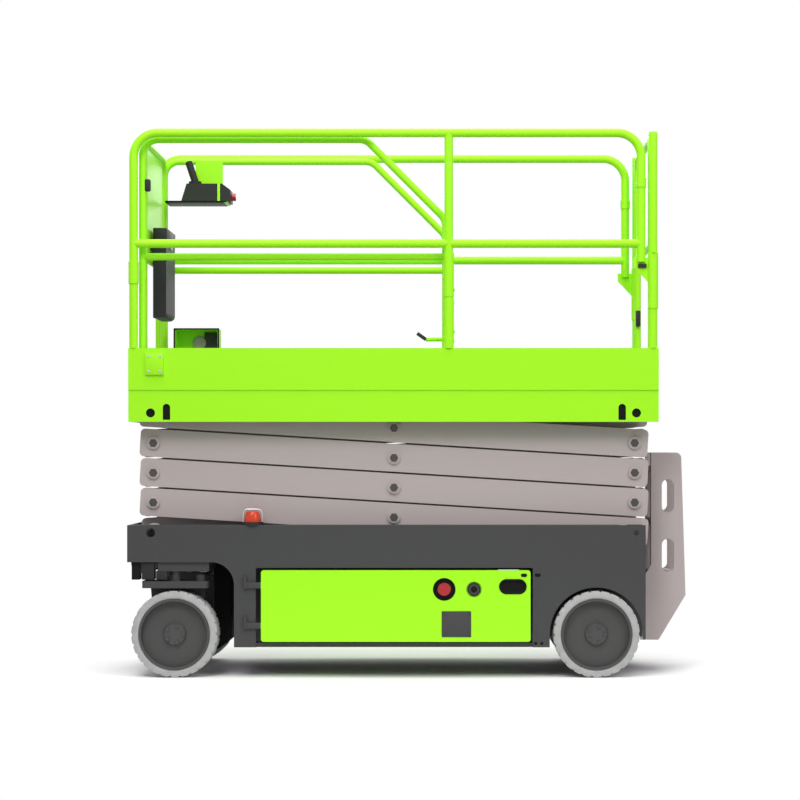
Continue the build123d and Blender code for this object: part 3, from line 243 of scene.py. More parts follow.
def slot_ring(x, y, z, length, height):
    """Round-ended slot outline in the plane of the machine's side, in mm."""
    steps = [tau * (k + 0.5) / ROUND_SIDES for k in range(ROUND_SIDES)]
    reach = (length - height) / 2
    outline = [(height / 2 * cos(a) + (reach if cos(a) > 0 else -reach), height / 2 * sin(a)) for a in steps]
    return [spot(x + along, y, z + rise) for along, rise in outline]


def skin(name, rings, finish, body, closed=False):
    """Surface through a row of point rings: capped at both ends, or closed on itself as an annulus."""
    mesh = bmesh.new()
    rows = [[mesh.verts.new(point) for point in ring] for ring in rings]
    for lower, upper in zip(rows, rows[1:] + (rows[:1] if closed else [])):
        for k in range(len(lower)):
            after = (k + 1) % len(lower)
            mesh.faces.new((lower[k], lower[after], upper[after], upper[k]))
    if not closed:
        mesh.faces.new(rows[0])
        mesh.faces.new(rows[-1])
    return keep(name, mesh, finish, body)


def turned(name, at, way, profile, finish, body, closed=False):
    """Turned piece in mm: profile holds (radius, height) from its seat outwards along its axis."""
    axis = Vector(way).normalized()
    rings = [round_ring(spot(*at) + axis * height * MM, axis, radius * MM) for radius, height in profile]
    return skin(name, rings, finish, body, closed)


def bent_rod(name, points, radius, finish, body):
    """Round rod along a row of points, in mm."""
    line = bpy.data.curves.new(name, "CURVE")
    line.dimensions = "3D"
    line.bevel_depth = radius * MM
    line.bevel_resolution = 4
    line.use_fill_caps = True
    run = line.splines.new("POLY")
    run.points.add(len(points) - 1)
    for knot, point in zip(run.points, points):
        knot.co = (*spot(*point), 1.0)
    drawn = bpy.data.objects.new(name, line)
    bpy.context.scene.collection.objects.link(drawn)
    solid = bpy.data.meshes.new_from_object(drawn.evaluated_get(bpy.context.evaluated_depsgraph_get()))
    bpy.data.objects.remove(drawn)
    mesh = bmesh.new()
    mesh.from_mesh(solid)
    bmesh.ops.remove_doubles(mesh, verts=mesh.verts[:], dist=WELD)
    return keep(name, mesh, finish, body)


# Geometry Nodes: what repeats is grown by a tree with named sizes, then kept as a plain mesh
def new_tree(name, sizes):
    """Tree with one named input per size; returns it with its input and output nodes."""
    tree = bpy.data.node_groups.new(name, "GeometryNodeTree")
    tree.interface.new_socket("Geometry", in_out="INPUT", socket_type="NodeSocketGeometry")
    for label, kind in sizes.items():
        tree.interface.new_socket(label, in_out="INPUT", socket_type=f"NodeSocket{kind}")
    tree.interface.new_socket("Geometry", in_out="OUTPUT", socket_type="NodeSocketGeometry")
    return tree, add(tree, "NodeGroupInput"), add(tree, "NodeGroupOutput")


def grow(name, tree, seats, sizes, body):
    """Run a tree on its seats, (place, way it faces), and keep the result as one mesh on a body."""
    base = bpy.data.meshes.new(name)
    base.from_pydata([place for place, way in seats], [], [])
    facing = base.attributes.new("facing", "FLOAT_VECTOR", "POINT")
    for seat, (place, way) in zip(facing.data, seats):
        seat.vector = way
    piece = bpy.data.objects.new(name, base)
    bpy.context.scene.collection.objects.link(piece)
    shape = piece.modifiers.new("shape", "NODES")
    shape.node_group = tree
    for socket in tree.interface.items_tree:
        if socket.in_out == "INPUT" and socket.name in sizes:
            shape[socket.identifier] = sizes[socket.name]
    grown = bpy.data.meshes.new_from_object(piece.evaluated_get(bpy.context.evaluated_depsgraph_get()))
    piece.modifiers.remove(shape)
    mesh = bmesh.new()
    mesh.from_mesh(grown)
    dress(mesh, grown)
    piece.data = grown
    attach(piece, body)
    return piece


# Fastener: a head on a washer at every seat, facing as the seat does
WASHER_SIDES = 28

fastener, given, result = new_tree("fastener", {
    "Head radius": "Float", "Head height": "Float", "Head sides": "Int", "Head finish": "Material",
    "Washer radius": "Float", "Washer height": "Float", "Washer finish": "Material",
})
size = given.outputs
facing = add(fastener, "GeometryNodeInputNamedAttribute", {"Name": "facing"}, data_type="FLOAT_VECTOR")
turn = add(fastener, "FunctionNodeAlignRotationToVector", {"Vector": facing.outputs["Attribute"]}, axis="Z")
parts = []
for part, sides in (("Washer", WASHER_SIDES), ("Head", size["Head sides"])):
    solid = add(fastener, "GeometryNodeMeshCylinder", {
        "Vertices": sides, "Radius": size[f"{part} radius"], "Depth": size[f"{part} height"],
    })
    rise = add(fastener, "ShaderNodeMath", {0: size[f"{part} height"], 1: 0.5}, operation="MULTIPLY")
    if part == "Head":
        above = {0: rise.outputs[0], 1: size["Washer height"]}
        rise = add(fastener, "ShaderNodeMath", above, operation="ADD")
    lift = add(fastener, "ShaderNodeCombineXYZ", {"Z": rise.outputs[0]})
    raised = add(fastener, "GeometryNodeTransform", {
        "Geometry": solid.outputs["Mesh"], "Translation": lift.outputs["Vector"],
    })
    spread = add(fastener, "GeometryNodeInstanceOnPoints", {
        "Points": size["Geometry"], "Instance": raised.outputs["Geometry"],
        "Rotation": turn.outputs["Rotation"],
    })
    real = add(fastener, "GeometryNodeRealizeInstances", {"Geometry": spread.outputs["Instances"]})
    parts.append(add(fastener, "GeometryNodeSetMaterial", {
        "Geometry": real.outputs["Geometry"], "Material": size[f"{part} finish"],
    }))
joined = add(fastener, "GeometryNodeJoinGeometry")
for part in parts:
    fastener.links.new(part.outputs["Geometry"], joined.inputs["Geometry"])
fastener.links.new(joined.outputs["Geometry"], result.inputs["Geometry"])


def bolts(name, places, way, radius, finish, body):
    """Hexagon heads of one size on their washers, in mm."""
    grow(name, fastener, [(spot(*place), way) for place in places], {
        "Head radius": radius * MM, "Head height": 0.7 * radius * MM, "Head sides": 6, "Head finish": finish,
        "Washer radius": 1.45 * radius * MM, "Washer height": 0.2 * radius * MM, "Washer finish": finish,
    }, body)


# Tread plate: low slanted bars over a rectangle, every second one turned the other way
tread_plate, given, result = new_tree("tread plate", {
    "Length": "Float", "Width": "Float", "Pitch": "Float", "Bar length": "Float", "Bar width": "Float",
    "Bar height": "Float", "Slant": "Float", "Finish": "Material",
})
size = given.outputs
counts = {}
for way in ("Length", "Width"):
    fits = add(tread_plate, "ShaderNodeMath", {0: size[way], 1: size["Pitch"]}, operation="DIVIDE")
    counts[way] = add(tread_plate, "FunctionNodeFloatToInt", {0: fits.outputs[0]}, rounding_mode="FLOOR")
field = add(tread_plate, "GeometryNodeMeshGrid", {
    "Size X": size["Length"], "Size Y": size["Width"],
    "Vertices X": counts["Length"].outputs[0], "Vertices Y": counts["Width"].outputs[0],
})
seat = add(tread_plate, "GeometryNodeSampleIndex", {
    "Geometry": size["Geometry"], "Value": add(tread_plate, "GeometryNodeInputPosition").outputs[0],
}, data_type="FLOAT_VECTOR")
laid = add(tread_plate, "GeometryNodeTransform", {
    "Geometry": field.outputs["Mesh"], "Translation": seat.outputs["Value"],
})
order = add(tread_plate, "GeometryNodeInputIndex")
place_in = {0: order.outputs[0], 1: counts["Width"].outputs[0]}
row = add(tread_plate, "ShaderNodeMath", place_in, operation="DIVIDE")
row = add(tread_plate, "ShaderNodeMath", {0: row.outputs[0]}, operation="FLOOR")
column = add(tread_plate, "ShaderNodeMath", place_in, operation="MODULO")
parity = add(tread_plate, "ShaderNodeMath", {0: row.outputs[0], 1: column.outputs[0]}, operation="ADD")
odd = add(tread_plate, "ShaderNodeMath", {0: parity.outputs[0], 1: 2.0}, operation="MODULO")
swing = add(tread_plate, "ShaderNodeMath", {0: odd.outputs[0], 1: 2.0, 2: -1.0}, operation="MULTIPLY_ADD")
slant = add(tread_plate, "ShaderNodeMath", {0: swing.outputs[0], 1: size["Slant"]}, operation="MULTIPLY")
about_z = add(tread_plate, "ShaderNodeCombineXYZ", {"Z": slant.outputs[0]})
turn = add(tread_plate, "FunctionNodeEulerToRotation", {"Euler": about_z.outputs["Vector"]})
bar = add(tread_plate, "GeometryNodeMeshCylinder", {"Vertices": 8, "Radius": 0.5, "Depth": 1.0})
shape = add(tread_plate, "ShaderNodeCombineXYZ", {
    "X": size["Bar length"], "Y": size["Bar width"], "Z": size["Bar height"],
})
spread = add(tread_plate, "GeometryNodeInstanceOnPoints", {
    "Points": laid.outputs["Geometry"], "Instance": bar.outputs["Mesh"],
    "Rotation": turn.outputs["Rotation"], "Scale": shape.outputs["Vector"],
})
real = add(tread_plate, "GeometryNodeRealizeInstances", {"Geometry": spread.outputs["Instances"]})
coated = add(tread_plate, "GeometryNodeSetMaterial", {
    "Geometry": real.outputs["Geometry"], "Material": size["Finish"],
})
tread_plate.links.new(coated.outputs["Geometry"], result.inputs["Geometry"])

# Moulded tyre: a ring of its true section, with slits cut into both shoulders, staggered side to side
STEPS_PER_LUG = 8
SECTION_STEPS = 44

moulded_tyre, given, result = new_tree("moulded tyre", {
    "Tread radius": "Float", "Bore radius": "Float", "Width": "Float", "Taper": "Float",
    "Edge radius": "Float", "Lugs": "Int", "Slit depth": "Float", "Slit reach": "Float",
    "Slit share": "Float", "Centre": "Vector", "Finish": "Material",
})
size = given.outputs

# The section: a trapezium with rounded corners, as high as the rubber is thick
wall = add(moulded_tyre, "ShaderNodeMath", {0: size["Tread radius"], 1: size["Bore radius"]},
           operation="SUBTRACT")
crown = add(moulded_tyre, "ShaderNodeMath", {0: size["Taper"], 1: -2.0, 2: size["Width"]},
            operation="MULTIPLY_ADD")
section = add(moulded_tyre, "GeometryNodeCurvePrimitiveQuadrilateral", {
    "Bottom Width": size["Width"], "Top Width": crown.outputs[0], "Height": wall.outputs[0], "Offset": 0.0,
}, mode="TRAPEZOID")
section = add(moulded_tyre, "GeometryNodeFilletCurve", {
    "Curve": section.outputs["Curve"], "Radius": size["Edge radius"], "Count": 4,
}, mode="POLY")

# A flat grid: X runs once round the wheel, Y once round the section
around = add(moulded_tyre, "ShaderNodeMath", {0: size["Lugs"], 1: float(STEPS_PER_LUG), 2: 1.0},
             operation="MULTIPLY_ADD")
field = add(moulded_tyre, "GeometryNodeMeshGrid", {
    "Size X": 1.0, "Size Y": 1.0, "Vertices X": around.outputs[0], "Vertices Y": SECTION_STEPS + 1,
})
flat = add(moulded_tyre, "ShaderNodeSeparateXYZ", {
    "Vector": add(moulded_tyre, "GeometryNodeInputPosition").outputs[0],
})
turns = add(moulded_tyre, "ShaderNodeMath", {0: flat.outputs["X"], 1: 0.5}, operation="ADD")
along = add(moulded_tyre, "ShaderNodeMath", {0: flat.outputs["Y"], 1: 0.5}, operation="ADD")
sampled = add(moulded_tyre, "GeometryNodeSampleCurve", {
    "Curves": section.outputs["Curve"], "Factor": along.outputs[0],
}, mode="FACTOR")
on_section = add(moulded_tyre, "ShaderNodeSeparateXYZ", {"Vector": sampled.outputs["Position"]})
middle = add(moulded_tyre, "ShaderNodeMath", {0: wall.outputs[0], 1: 0.5, 2: size["Bore radius"]},
             operation="MULTIPLY_ADD")
radius = add(moulded_tyre, "ShaderNodeMath", {0: middle.outputs[0], 1: on_section.outputs["Y"]},
             operation="ADD")

# The slits: at the shoulders the radius drops over a share of every lug
far_side = add(moulded_tyre, "ShaderNodeMath", {0: on_section.outputs["X"], 1: 0.0}, operation="GREATER_THAN")
stagger = add(moulded_tyre, "ShaderNodeMath", {0: far_side.outputs[0], 1: 0.5}, operation="MULTIPLY")
lug = add(moulded_tyre, "ShaderNodeMath", {0: turns.outputs[0], 1: size["Lugs"], 2: stagger.outputs[0]},
          operation="MULTIPLY_ADD")
lug = add(moulded_tyre, "ShaderNodeMath", {0: lug.outputs[0]}, operation="FRACT")
in_slit = add(moulded_tyre, "ShaderNodeMath", {0: lug.outputs[0], 1: size["Slit share"]},
              operation="LESS_THAN")
from_middle = add(moulded_tyre, "ShaderNodeMath", {0: on_section.outputs["X"]}, operation="ABSOLUTE")
plain = add(moulded_tyre, "ShaderNodeMath", {0: size["Width"], 1: 0.5}, operation="MULTIPLY")
plain = add(moulded_tyre, "ShaderNodeMath", {0: plain.outputs[0], 1: size["Slit reach"]},
            operation="SUBTRACT")
at_shoulder = add(moulded_tyre, "ShaderNodeMath", {0: from_middle.outputs[0], 1: plain.outputs[0]},
                  operation="GREATER_THAN")
slit_floor = add(moulded_tyre, "ShaderNodeMath", {0: size["Tread radius"], 1: size["Slit depth"]},
                 operation="SUBTRACT")
cut_to = add(moulded_tyre, "ShaderNodeMath", {0: radius.outputs[0], 1: slit_floor.outputs[0]},
             operation="MINIMUM")
cut = add(moulded_tyre, "ShaderNodeMath", {0: in_slit.outputs[0], 1: at_shoulder.outputs[0]},
          operation="MULTIPLY")
radius = add(moulded_tyre, "ShaderNodeMix", {
    "Factor": cut.outputs[0], "A": radius.outputs[0], "B": cut_to.outputs[0],
})

# The grid rolled up about the wheel's axis, with its seams welded
angle = add(moulded_tyre, "ShaderNodeMath", {0: turns.outputs[0], 1: tau}, operation="MULTIPLY")
ring = {}
for axis, wave in (("X", "COSINE"), ("Z", "SINE")):
    share = add(moulded_tyre, "ShaderNodeMath", {0: angle.outputs[0]}, operation=wave)
    ring[axis] = add(moulded_tyre, "ShaderNodeMath", {0: share.outputs[0], 1: radius.outputs["Result"]},
                     operation="MULTIPLY").outputs[0]
on_ring = add(moulded_tyre, "ShaderNodeCombineXYZ", {**ring, "Y": on_section.outputs["X"]})
on_wheel = add(moulded_tyre, "ShaderNodeVectorMath", {0: on_ring.outputs[0], 1: size["Centre"]},
               operation="ADD")
rolled = add(moulded_tyre, "GeometryNodeSetPosition", {
    "Geometry": field.outputs["Mesh"], "Position": on_wheel.outputs["Vector"],
})
welded = add(moulded_tyre, "GeometryNodeMergeByDistance", {
    "Geometry": rolled.outputs["Geometry"], "Distance": WELD,
})
real = add(moulded_tyre, "GeometryNodeRealizeInstances", {"Geometry": welded.outputs["Geometry"]})
cured = add(moulded_tyre, "GeometryNodeSetMaterial", {
    "Geometry": real.outputs["Geometry"], "Material": size["Finish"],
})
moulded_tyre.links.new(cured.outputs["Geometry"], result.inputs["Geometry"])

# Tyres: pale solid rubber with slits in the shoulders, in place of the plain rings
WHEELS = [(end, place) for end in ("front", "rear") for place in SIDES]
TYRE_BORE_GAP = 0.25
TYRE_SIZES = {
    "Taper": 7 * MM, "Edge radius": 6 * MM, "Lugs": 26, "Slit depth": 6 * MM, "Slit reach": 38 * MM,
    "Slit share": 0.17, "Finish": grey_rubber,
}

for end, place in WHEELS:
    low, high = corners(f"tyre_{end}_{place}")
    rim_low, rim_high = corners(f"rim_{end}_{place}")
    tyre = grow(f"moulded_tyre_{end}_{place}", moulded_tyre, [((0, 0, 0), UP)], {
        **TYRE_SIZES, "Tread radius": (high[2] - low[2]) / 2 * MM, "Width": (high[1] - low[1]) * MM,
        "Bore radius": ((rim_high[2] - rim_low[2]) / 2 + TYRE_BORE_GAP) * MM,
        "Centre": list((low + high) / 2 * MM),
    }, f"wheel_{end}_{place}")
    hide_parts(f"tyre_{end}_{place}")

# Wheel discs: five nuts round each hub
HUB_NUTS = 5
HUB_REACH = 46
HUB_NUT_CIRCLE = 38
HUB_NUT_SIZES = {
    "Head radius": 8 * MM, "Head height": 6 * MM, "Head sides": 6, "Head finish": wheel_paint,
    "Washer radius": 10 * MM, "Washer height": 1.5 * MM, "Washer finish": wheel_paint,
}

for end, place in WHEELS:
    side = SIDES[place]
    hub = centre(f"rim_{end}_{place}") + Vector((0, side * HUB_REACH, 0))
    seats = []
    for k in range(HUB_NUTS):
        angle = tau * k / HUB_NUTS
        seats.append(((hub + HUB_NUT_CIRCLE * Vector((cos(angle), 0, sin(angle)))) * MM, (0, side, 0)))
    grow(f"hub_nuts_{end}_{place}", fastener, seats, HUB_NUT_SIZES, f"wheel_{end}_{place}")

# Scissor pins: a dark hexagon end on a pale boss, both sides, on every pair of inner arms
STAGES = 4
STAGE_RISE = 132
FIRST_PIN_Z = 638
FREE_PIN_X, FIXED_PIN_X = -1142.5, 999
PIN_SIZES = {
    "Head radius": 19 * MM, "Head height": 3.5 * MM, "Head sides": 6, "Head finish": dark_steel,
    "Washer radius": 26 * MM, "Washer height": 1.2 * MM, "Washer finish": warm_grey_paint,
}

middle_pin_x = (FREE_PIN_X + FIXED_PIN_X) / 2

for stage in range(STAGES):
    low, high = corners(f"inner_arms_{stage + 1}")
    foot = FIRST_PIN_Z + stage * STAGE_RISE
    pins = ((FREE_PIN_X, foot), (middle_pin_x, foot + STAGE_RISE / 2), (FIXED_PIN_X, foot + STAGE_RISE))
    ends = [(spot(x, face, z), (0, side, 0)) for side, face in ((-1, low[1]), (1, high[1])) for x, z in pins]
    grow(f"pin_ends_{stage + 1}", fastener, ends, PIN_SIZES, f"inner_{stage + 1}")

# Swing-out trays: pull cups, hinge sleeves and straps, and black strips under the sills that are painted
# shadow, on both sides
PANEL_FACE_Y, RECESS_Y, CHASSIS_FACE_Y = 398, 388, 388
PULL_SETBACK, PULL_DROP = 78, 72
# Length, height and distance from the middle plane of each ring of a pull cup
PULL_CUP = (
    (100, 45, RECESS_Y + 0.2), (115, 60, PANEL_FACE_Y - 0.2), (122, 67, PANEL_FACE_Y + 0.1),
    (122, 67, PANEL_FACE_Y + 1.6), (108, 53, PANEL_FACE_Y + 1.6), (97, 42, RECESS_Y + 2.5),
)
TRAY_PANEL_L = 1187
HINGE_X, HINGE_Y = -725, 396
HINGE_LOWS = (215.7, 393.7)
HINGE_H = 26
SLEEVE_PROFILE = ((7.5, -0.3), (7.5, HINGE_H + 0.2))
STRAP_FACES = (391.4, 398.6)
STRAP_SET, STRAP_GAP = 4, 1
STRAP_BELOW, STRAP_ABOVE = 0.4, 0.3
SILL_SHADOW_X, SILL_SHADOW_FACES, SILL_SHADOW_Z = (-690, 570), (366, 376), (152.4, 157.6)

tray_rear_x, _, tray_top_z = corners("tray_near")[1]
pull_x, pull_z = tray_rear_x - PULL_SETBACK, tray_top_z - PULL_DROP
strap_x = (HINGE_X + STRAP_SET, tray_rear_x - TRAY_PANEL_L - STRAP_GAP)

for place, side in SIDES.items():
    body = f"tray_{place}"
    rings = [slot_ring(pull_x, side * y, pull_z, length, height) for length, height, y in PULL_CUP]
    skin(f"pull_cup_{place}", rings, black_rubber, body)
    for row, low in enumerate(HINGE_LOWS):
        turned(f"hinge_sleeve_{place}_{row}", (HINGE_X, side * HINGE_Y, low), UP, SLEEVE_PROFILE,
               charcoal_paint, body)
        slab(f"hinge_strap_{place}_{row}", x=strap_x, y=across(side, *STRAP_FACES),
             z=(low - STRAP_BELOW, low + HINGE_H + STRAP_ABOVE), edge=0.3, finish=charcoal_paint, body=body)
    # Black strip in the gap under each tray: painted shadow, a dark sheet where the gap is only in shade
    slab(f"sill_shadow_strip_{place}", x=SILL_SHADOW_X, y=across(side, *SILL_SHADOW_FACES), z=SILL_SHADOW_Z, edge=0.5,
         finish=black_rubber, body="chassis")

# Near side: a black dish in the stop's recess that is painted shadow, lock barrel, square cover, catches,
# sill plugs and a bright keeper strip
STOP_SHADOW_DISH = ((29, 0.3), (49, 0.3), (49.6, 10.6), (46, 10.6), (43, 3.5), (29, 2.5))
KEY_BEZEL = ((15, 0.1), (22, 0.1), (21, 2.4), (16, 2.4))
KEY_BARREL = ((12, 0.1), (12, 3), (11, 3.6))
COVER_X, COVER_Z, COVER_T = (140.5, 270.5), (179, 293), 2.4
SCREW_INSET, SCREW_R, SCREW_SINK = 11, 4, 0.1
CATCH_L, CATCH_H, CATCH_Z = 27, 15, 451
CATCHES = (("tray_catch", 503, PANEL_FACE_Y, "tray_near"), ("chassis_catch", 564, CHASSIS_FACE_Y, "chassis"))
CATCH_FACES = (0.1, 1.2)
PLUG_AT_X, PLUG_Z = (555, 582), 150
PLUG_PROFILE = ((7, 0.1), (7, 0.6), (5, 1.4))
KEEPER_X, KEEPER_Y = (388, 481), (-398, -386)
KEEPER_SINK, KEEPER_RISE = 0.2, 3.6

stop_x, _, stop_z = centre("ground_stop")
# The stop's recess lined in black: painted shadow of the recess round the button
turned("stop_shadow_dish", (stop_x, -RECESS_Y, stop_z), NEAR, STOP_SHADOW_DISH, black_rubber, "tray_near", closed=True)
key_x, _, key_z = centre("ground_key_switch")
turned("key_bezel", (key_x, -PANEL_FACE_Y, key_z), NEAR, KEY_BEZEL, dark_steel, "tray_near", closed=True)
turned("key_barrel", (key_x, -PANEL_FACE_Y, key_z), NEAR, KEY_BARREL, black_rubber, "tray_near")
slab("square_cover", x=COVER_X, y=(-PANEL_FACE_Y - COVER_T, -PANEL_FACE_Y), z=COVER_Z, edge=1,
     finish=charcoal_paint, body="tray_near")
screw_y = -PANEL_FACE_Y - COVER_T + SCREW_SINK
screws = [(x, screw_y, z) for x in (COVER_X[0] + SCREW_INSET, COVER_X[1] - SCREW_INSET)
          for z in (COVER_Z[0] + SCREW_INSET, COVER_Z[1] - SCREW_INSET)]
bolts("cover_screws", screws, NEAR, SCREW_R, charcoal_paint, "tray_near")
for name, x, face, body in CATCHES:
    rings = [slot_ring(x, -face - out, CATCH_Z, CATCH_L, CATCH_H) for out in CATCH_FACES]
    skin(name, rings, black_rubber, body)
for x in PLUG_AT_X:
    turned(f"sill_plug_{x}", (x, -CHASSIS_FACE_Y, PLUG_Z), NEAR, PLUG_PROFILE, black_rubber, "chassis")
slab("keeper_strip", x=KEEPER_X, y=KEEPER_Y, z=(tray_top_z - KEEPER_SINK, tray_top_z + KEEPER_RISE),
     edge=0.6, finish=zinc_plate, body="tray_near")

# Beacon: domed lens in place of its plain solid, with a bright guard bow over it
LENS_PROFILE = ((1, 0), (1, 0.1), (0.95, 0.35), (0.86, 0.66), (0.76, 0.87), (0.62, 0.97), (0.3, 1))
GUARD_GAP, GUARD_RISE, GUARD_BEND, GUARD_R = 3, 7, 18, 4
GUARD_FOOT_Z = 684

low, high = corners("beacon_dome")
lens_x, lens_y, _ = centre("beacon_dome")
lens_r, lens_h = (high[0] - low[0]) / 2, high[2] - low[2]
lens = turned("beacon_lens", (lens_x, lens_y, low[2]), UP,
              [(lens_r * r, lens_h * h) for r, h in LENS_PROFILE], amber_lens, "chassis")
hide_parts("beacon_dome")
guard_x, guard_top_z = lens_x - lens_r - GUARD_GAP, high[2] + GUARD_RISE
bend_z = guard_top_z - GUARD_BEND
guard = [(guard_x, GUARD_FOOT_Z), (guard_x, bend_z)]
for angle in (pi / 6, pi / 3, pi / 2):
    guard.append((guard_x + GUARD_BEND * (1 - cos(angle)), bend_z + GUARD_BEND * sin(angle)))
guard += [(2 * lens_x - x, z) for x, z in reversed(guard)]
bent_rod("beacon_guard", [(x, lens_y, z) for x, z in guard], GUARD_R, zinc_plate, "chassis")

# Valve cover, its skid and hanger, under the front of the well and clear of the steered wheels. The black
# cover and skid are partly a real box and partly painted shadow under the front
VALVE_SHADOW_X, VALVE_SHADOW_Y, VALVE_SHADOW_Z = (-898, -816), (-120, 120), (240, 498)
VALVE_SHADOW_SKID = ((-898, 250), (-816, 250), (-816, 142), (-884, 92), (-898, 98))
SHADOW_SKID_Y = (-115, 115)
HANGER_X, HANGER_Y, HANGER_Z = (-884, -856), (-40, 40), (490, 532)

# Black block and wedge: painted shadow under the front, where the far wheel sits in shade
slab("valve_shadow_cover", x=VALVE_SHADOW_X, y=VALVE_SHADOW_Y, z=VALVE_SHADOW_Z, edge=8, finish=black_rubber, body="chassis")
skin("valve_shadow_skid", [[spot(x, y, z) for x, z in VALVE_SHADOW_SKID] for y in SHADOW_SKID_Y], black_rubber, "chassis")
slab("valve_hanger", x=HANGER_X, y=HANGER_Y, z=HANGER_Z, edge=2, finish=black_housing, body="chassis")

# Steering stops, valve blocks and clamps under the front skirts, above the sweep of the yokes
STEER_FITTINGS = {
    "steer_stop": {"x": (-1228, -1192), "z": (430, 512), "finish": black_rubber},
    "steer_valve": {"x": (-1183, -1128), "z": (430, 512), "finish": black_housing},
    "steer_clamp": {"x": (-1120, -1070), "z": (430, 470), "finish": black_housing},
}
STEER_FACES = (322, 378)

for place, side in SIDES.items():
    for name, fitting in STEER_FITTINGS.items():
        slab(f"{name}_{place}", y=across(side, *STEER_FACES), edge=3, body="chassis", **fitting)

# Platform: bolted corner plates, end caps on the gate posts, catches, socket bolts and wear pads
PLATE_X, PLATE_FACES, PLATE_Z = (-1163, -1084), (397, 408), (1334, 1431)
PLATE_BOLTS = [(x, z) for x in (-1149, -1098) for z in (1350, 1415)]
PLATE_BOLT_R = 4.5
END_POST_X, POST_Y, POST_TOP_Z = 1073, 383, 2390
POST_CAP = ((19.3, 0), (19.3, 9), (17.5, 13), (12, 16), (4, 17))
POST_BOLT_Y, POST_BOLT_Z, POST_BOLT_R = 405, 1877, 7
LATCH_X, LATCH_FACES, LATCH_Z = (1006, 1043), (387, 397), (1806, 1824)
MIDDLE_POST_X = 172
SOCKET_REACH, SOCKET_BOLT_R = 22, 6
SOCKETS = (("front", -1, (1563, 1764)), ("rear", 1, (1524, 1709)))
WEAR_PADS = {"front": (-1178, -1036), "rear": (905, 1034)}
WEAR_PAD_FACES, WEAR_PAD_Z = (377, 384.8), (1137, 1202)

for place, side in SIDES.items():
    outwards = (0, side, 0)
    slab(f"corner_plate_{place}", x=PLATE_X, y=across(side, *PLATE_FACES), z=PLATE_Z, edge=2,
         finish=lime_paint, body="platform")
    heads = [(x, side * PLATE_FACES[1], z) for x, z in PLATE_BOLTS]
    bolts(f"corner_bolts_{place}", heads, outwards, PLATE_BOLT_R, zinc_plate, "platform")
    turned(f"post_cap_{place}", (END_POST_X, side * POST_Y, POST_TOP_Z), UP, POST_CAP, lime_paint, "platform")
    heads = [(END_POST_X, side * POST_BOLT_Y, POST_BOLT_Z)]
    bolts(f"post_bolt_{place}", heads, outwards, POST_BOLT_R, lime_paint, "platform")
    slab(f"gusset_catch_{place}", x=LATCH_X, y=across(side, *LATCH_FACES), z=LATCH_Z, edge=2,
         finish=black_housing, body="platform")
    for end, way, levels in SOCKETS:
        heads = [(MIDDLE_POST_X + way * SOCKET_REACH, side * POST_Y, z) for z in levels]
        bolts(f"socket_bolts_{end}_{place}", heads, (way, 0, 0), SOCKET_BOLT_R, lime_paint, "platform")
    for end, span in WEAR_PADS.items():
        slab(f"wear_pad_{end}_{place}", x=span, y=across(side, *WEAR_PAD_FACES), z=WEAR_PAD_Z, edge=1,
             finish=black_rubber, body="platform")

# Gate: a lock at its hinge stile and a sprung catch on its free edge
GATE_LOCK = {"x": (1062, 1084), "y": (274, 297), "z": (1590, 1665), "edge": 3}
GATE_CATCH = {"x": (1058, 1088), "y": (-362, -340), "z": (1600, 1660), "edge": 4}
GATE_PULL_AT = (1073, -351, 1660)
GATE_PULL = ((9, -1), (9, 16), (6, 20))

slab("gate_lock", **GATE_LOCK, finish=black_housing, body="gate")
slab("gate_catch", **GATE_CATCH, finish=black_housing, body="gate")
turned("gate_pull", GATE_PULL_AT, UP, GATE_PULL, red_button, "gate")

# Extension: release grip, strap before the control box, black trim and dark liner on its shelf that are
# painted shadow, display and switches
RELEASE_GRIP = {"x": (-1177, -1151), "y": (-345, -317), "z": (2150, 2203), "edge": 6}
# How far a thin cover sinks into the face that it sits on
SEAT = 0.1
FRONT_STRAP_X, FRONT_STRAP_Z, FRONT_STRAP_T = (-918, -906), (2172, 2258), 3
SHADOW_TRIM_PROUD, SHADOW_TRIM_LAP, SHADOW_TRIM_BELOW, SHADOW_TRIM_ABOVE = 1.5, 0.5, 0.6, 6.6
SHADOW_LINER_INSET, SHADOW_LINER_REAR_GAP, SHADOW_LINER_T = 1, 14, 2
DISPLAY_X, DISPLAY_SETBACKS = (-994, -962), (18, 92)
DISPLAY_SINK, DISPLAY_RISE = 0.2, 2
SWITCH_X, SWITCH_SETBACKS = -943, (30, 55, 80)
SWITCH_PROFILE = ((8.5, -0.2), (8.5, 4), (7, 5.5))

slab("release_grip", **RELEASE_GRIP, finish=black_housing, body="extension")
low, high = corners("control_box")
front_y, top_z = low[1], high[2]
slab("control_strap", x=FRONT_STRAP_X, y=(front_y - FRONT_STRAP_T, front_y + SEAT), z=FRONT_STRAP_Z,
     edge=0.6, finish=lime_paint, body="extension")
low, high = corners("control_bracket")
# Shelf edge and underside darkened by a black trim and a charcoal liner: painted shadow under the shelf
slab("shelf_shadow_trim", x=(low[0], high[0]), y=(low[1] - SHADOW_TRIM_PROUD, low[1] + SHADOW_TRIM_LAP),
     z=(low[2] - SHADOW_TRIM_BELOW, low[2] + SHADOW_TRIM_ABOVE), edge=0.5, finish=black_rubber, body="extension")
slab("shelf_shadow_liner", x=(low[0] + SHADOW_LINER_INSET, high[0] - SHADOW_LINER_REAR_GAP),
     y=(low[1] + SHADOW_LINER_INSET, high[1] - SHADOW_LINER_INSET), z=(low[2] - SHADOW_LINER_T, low[2] + SEAT), edge=0.5,
     finish=charcoal_paint, body="extension")
slab("control_display", x=DISPLAY_X, y=[front_y + setback for setback in DISPLAY_SETBACKS],
     z=(top_z - DISPLAY_SINK, top_z + DISPLAY_RISE), edge=0.8, finish=dark_glass, body="extension")
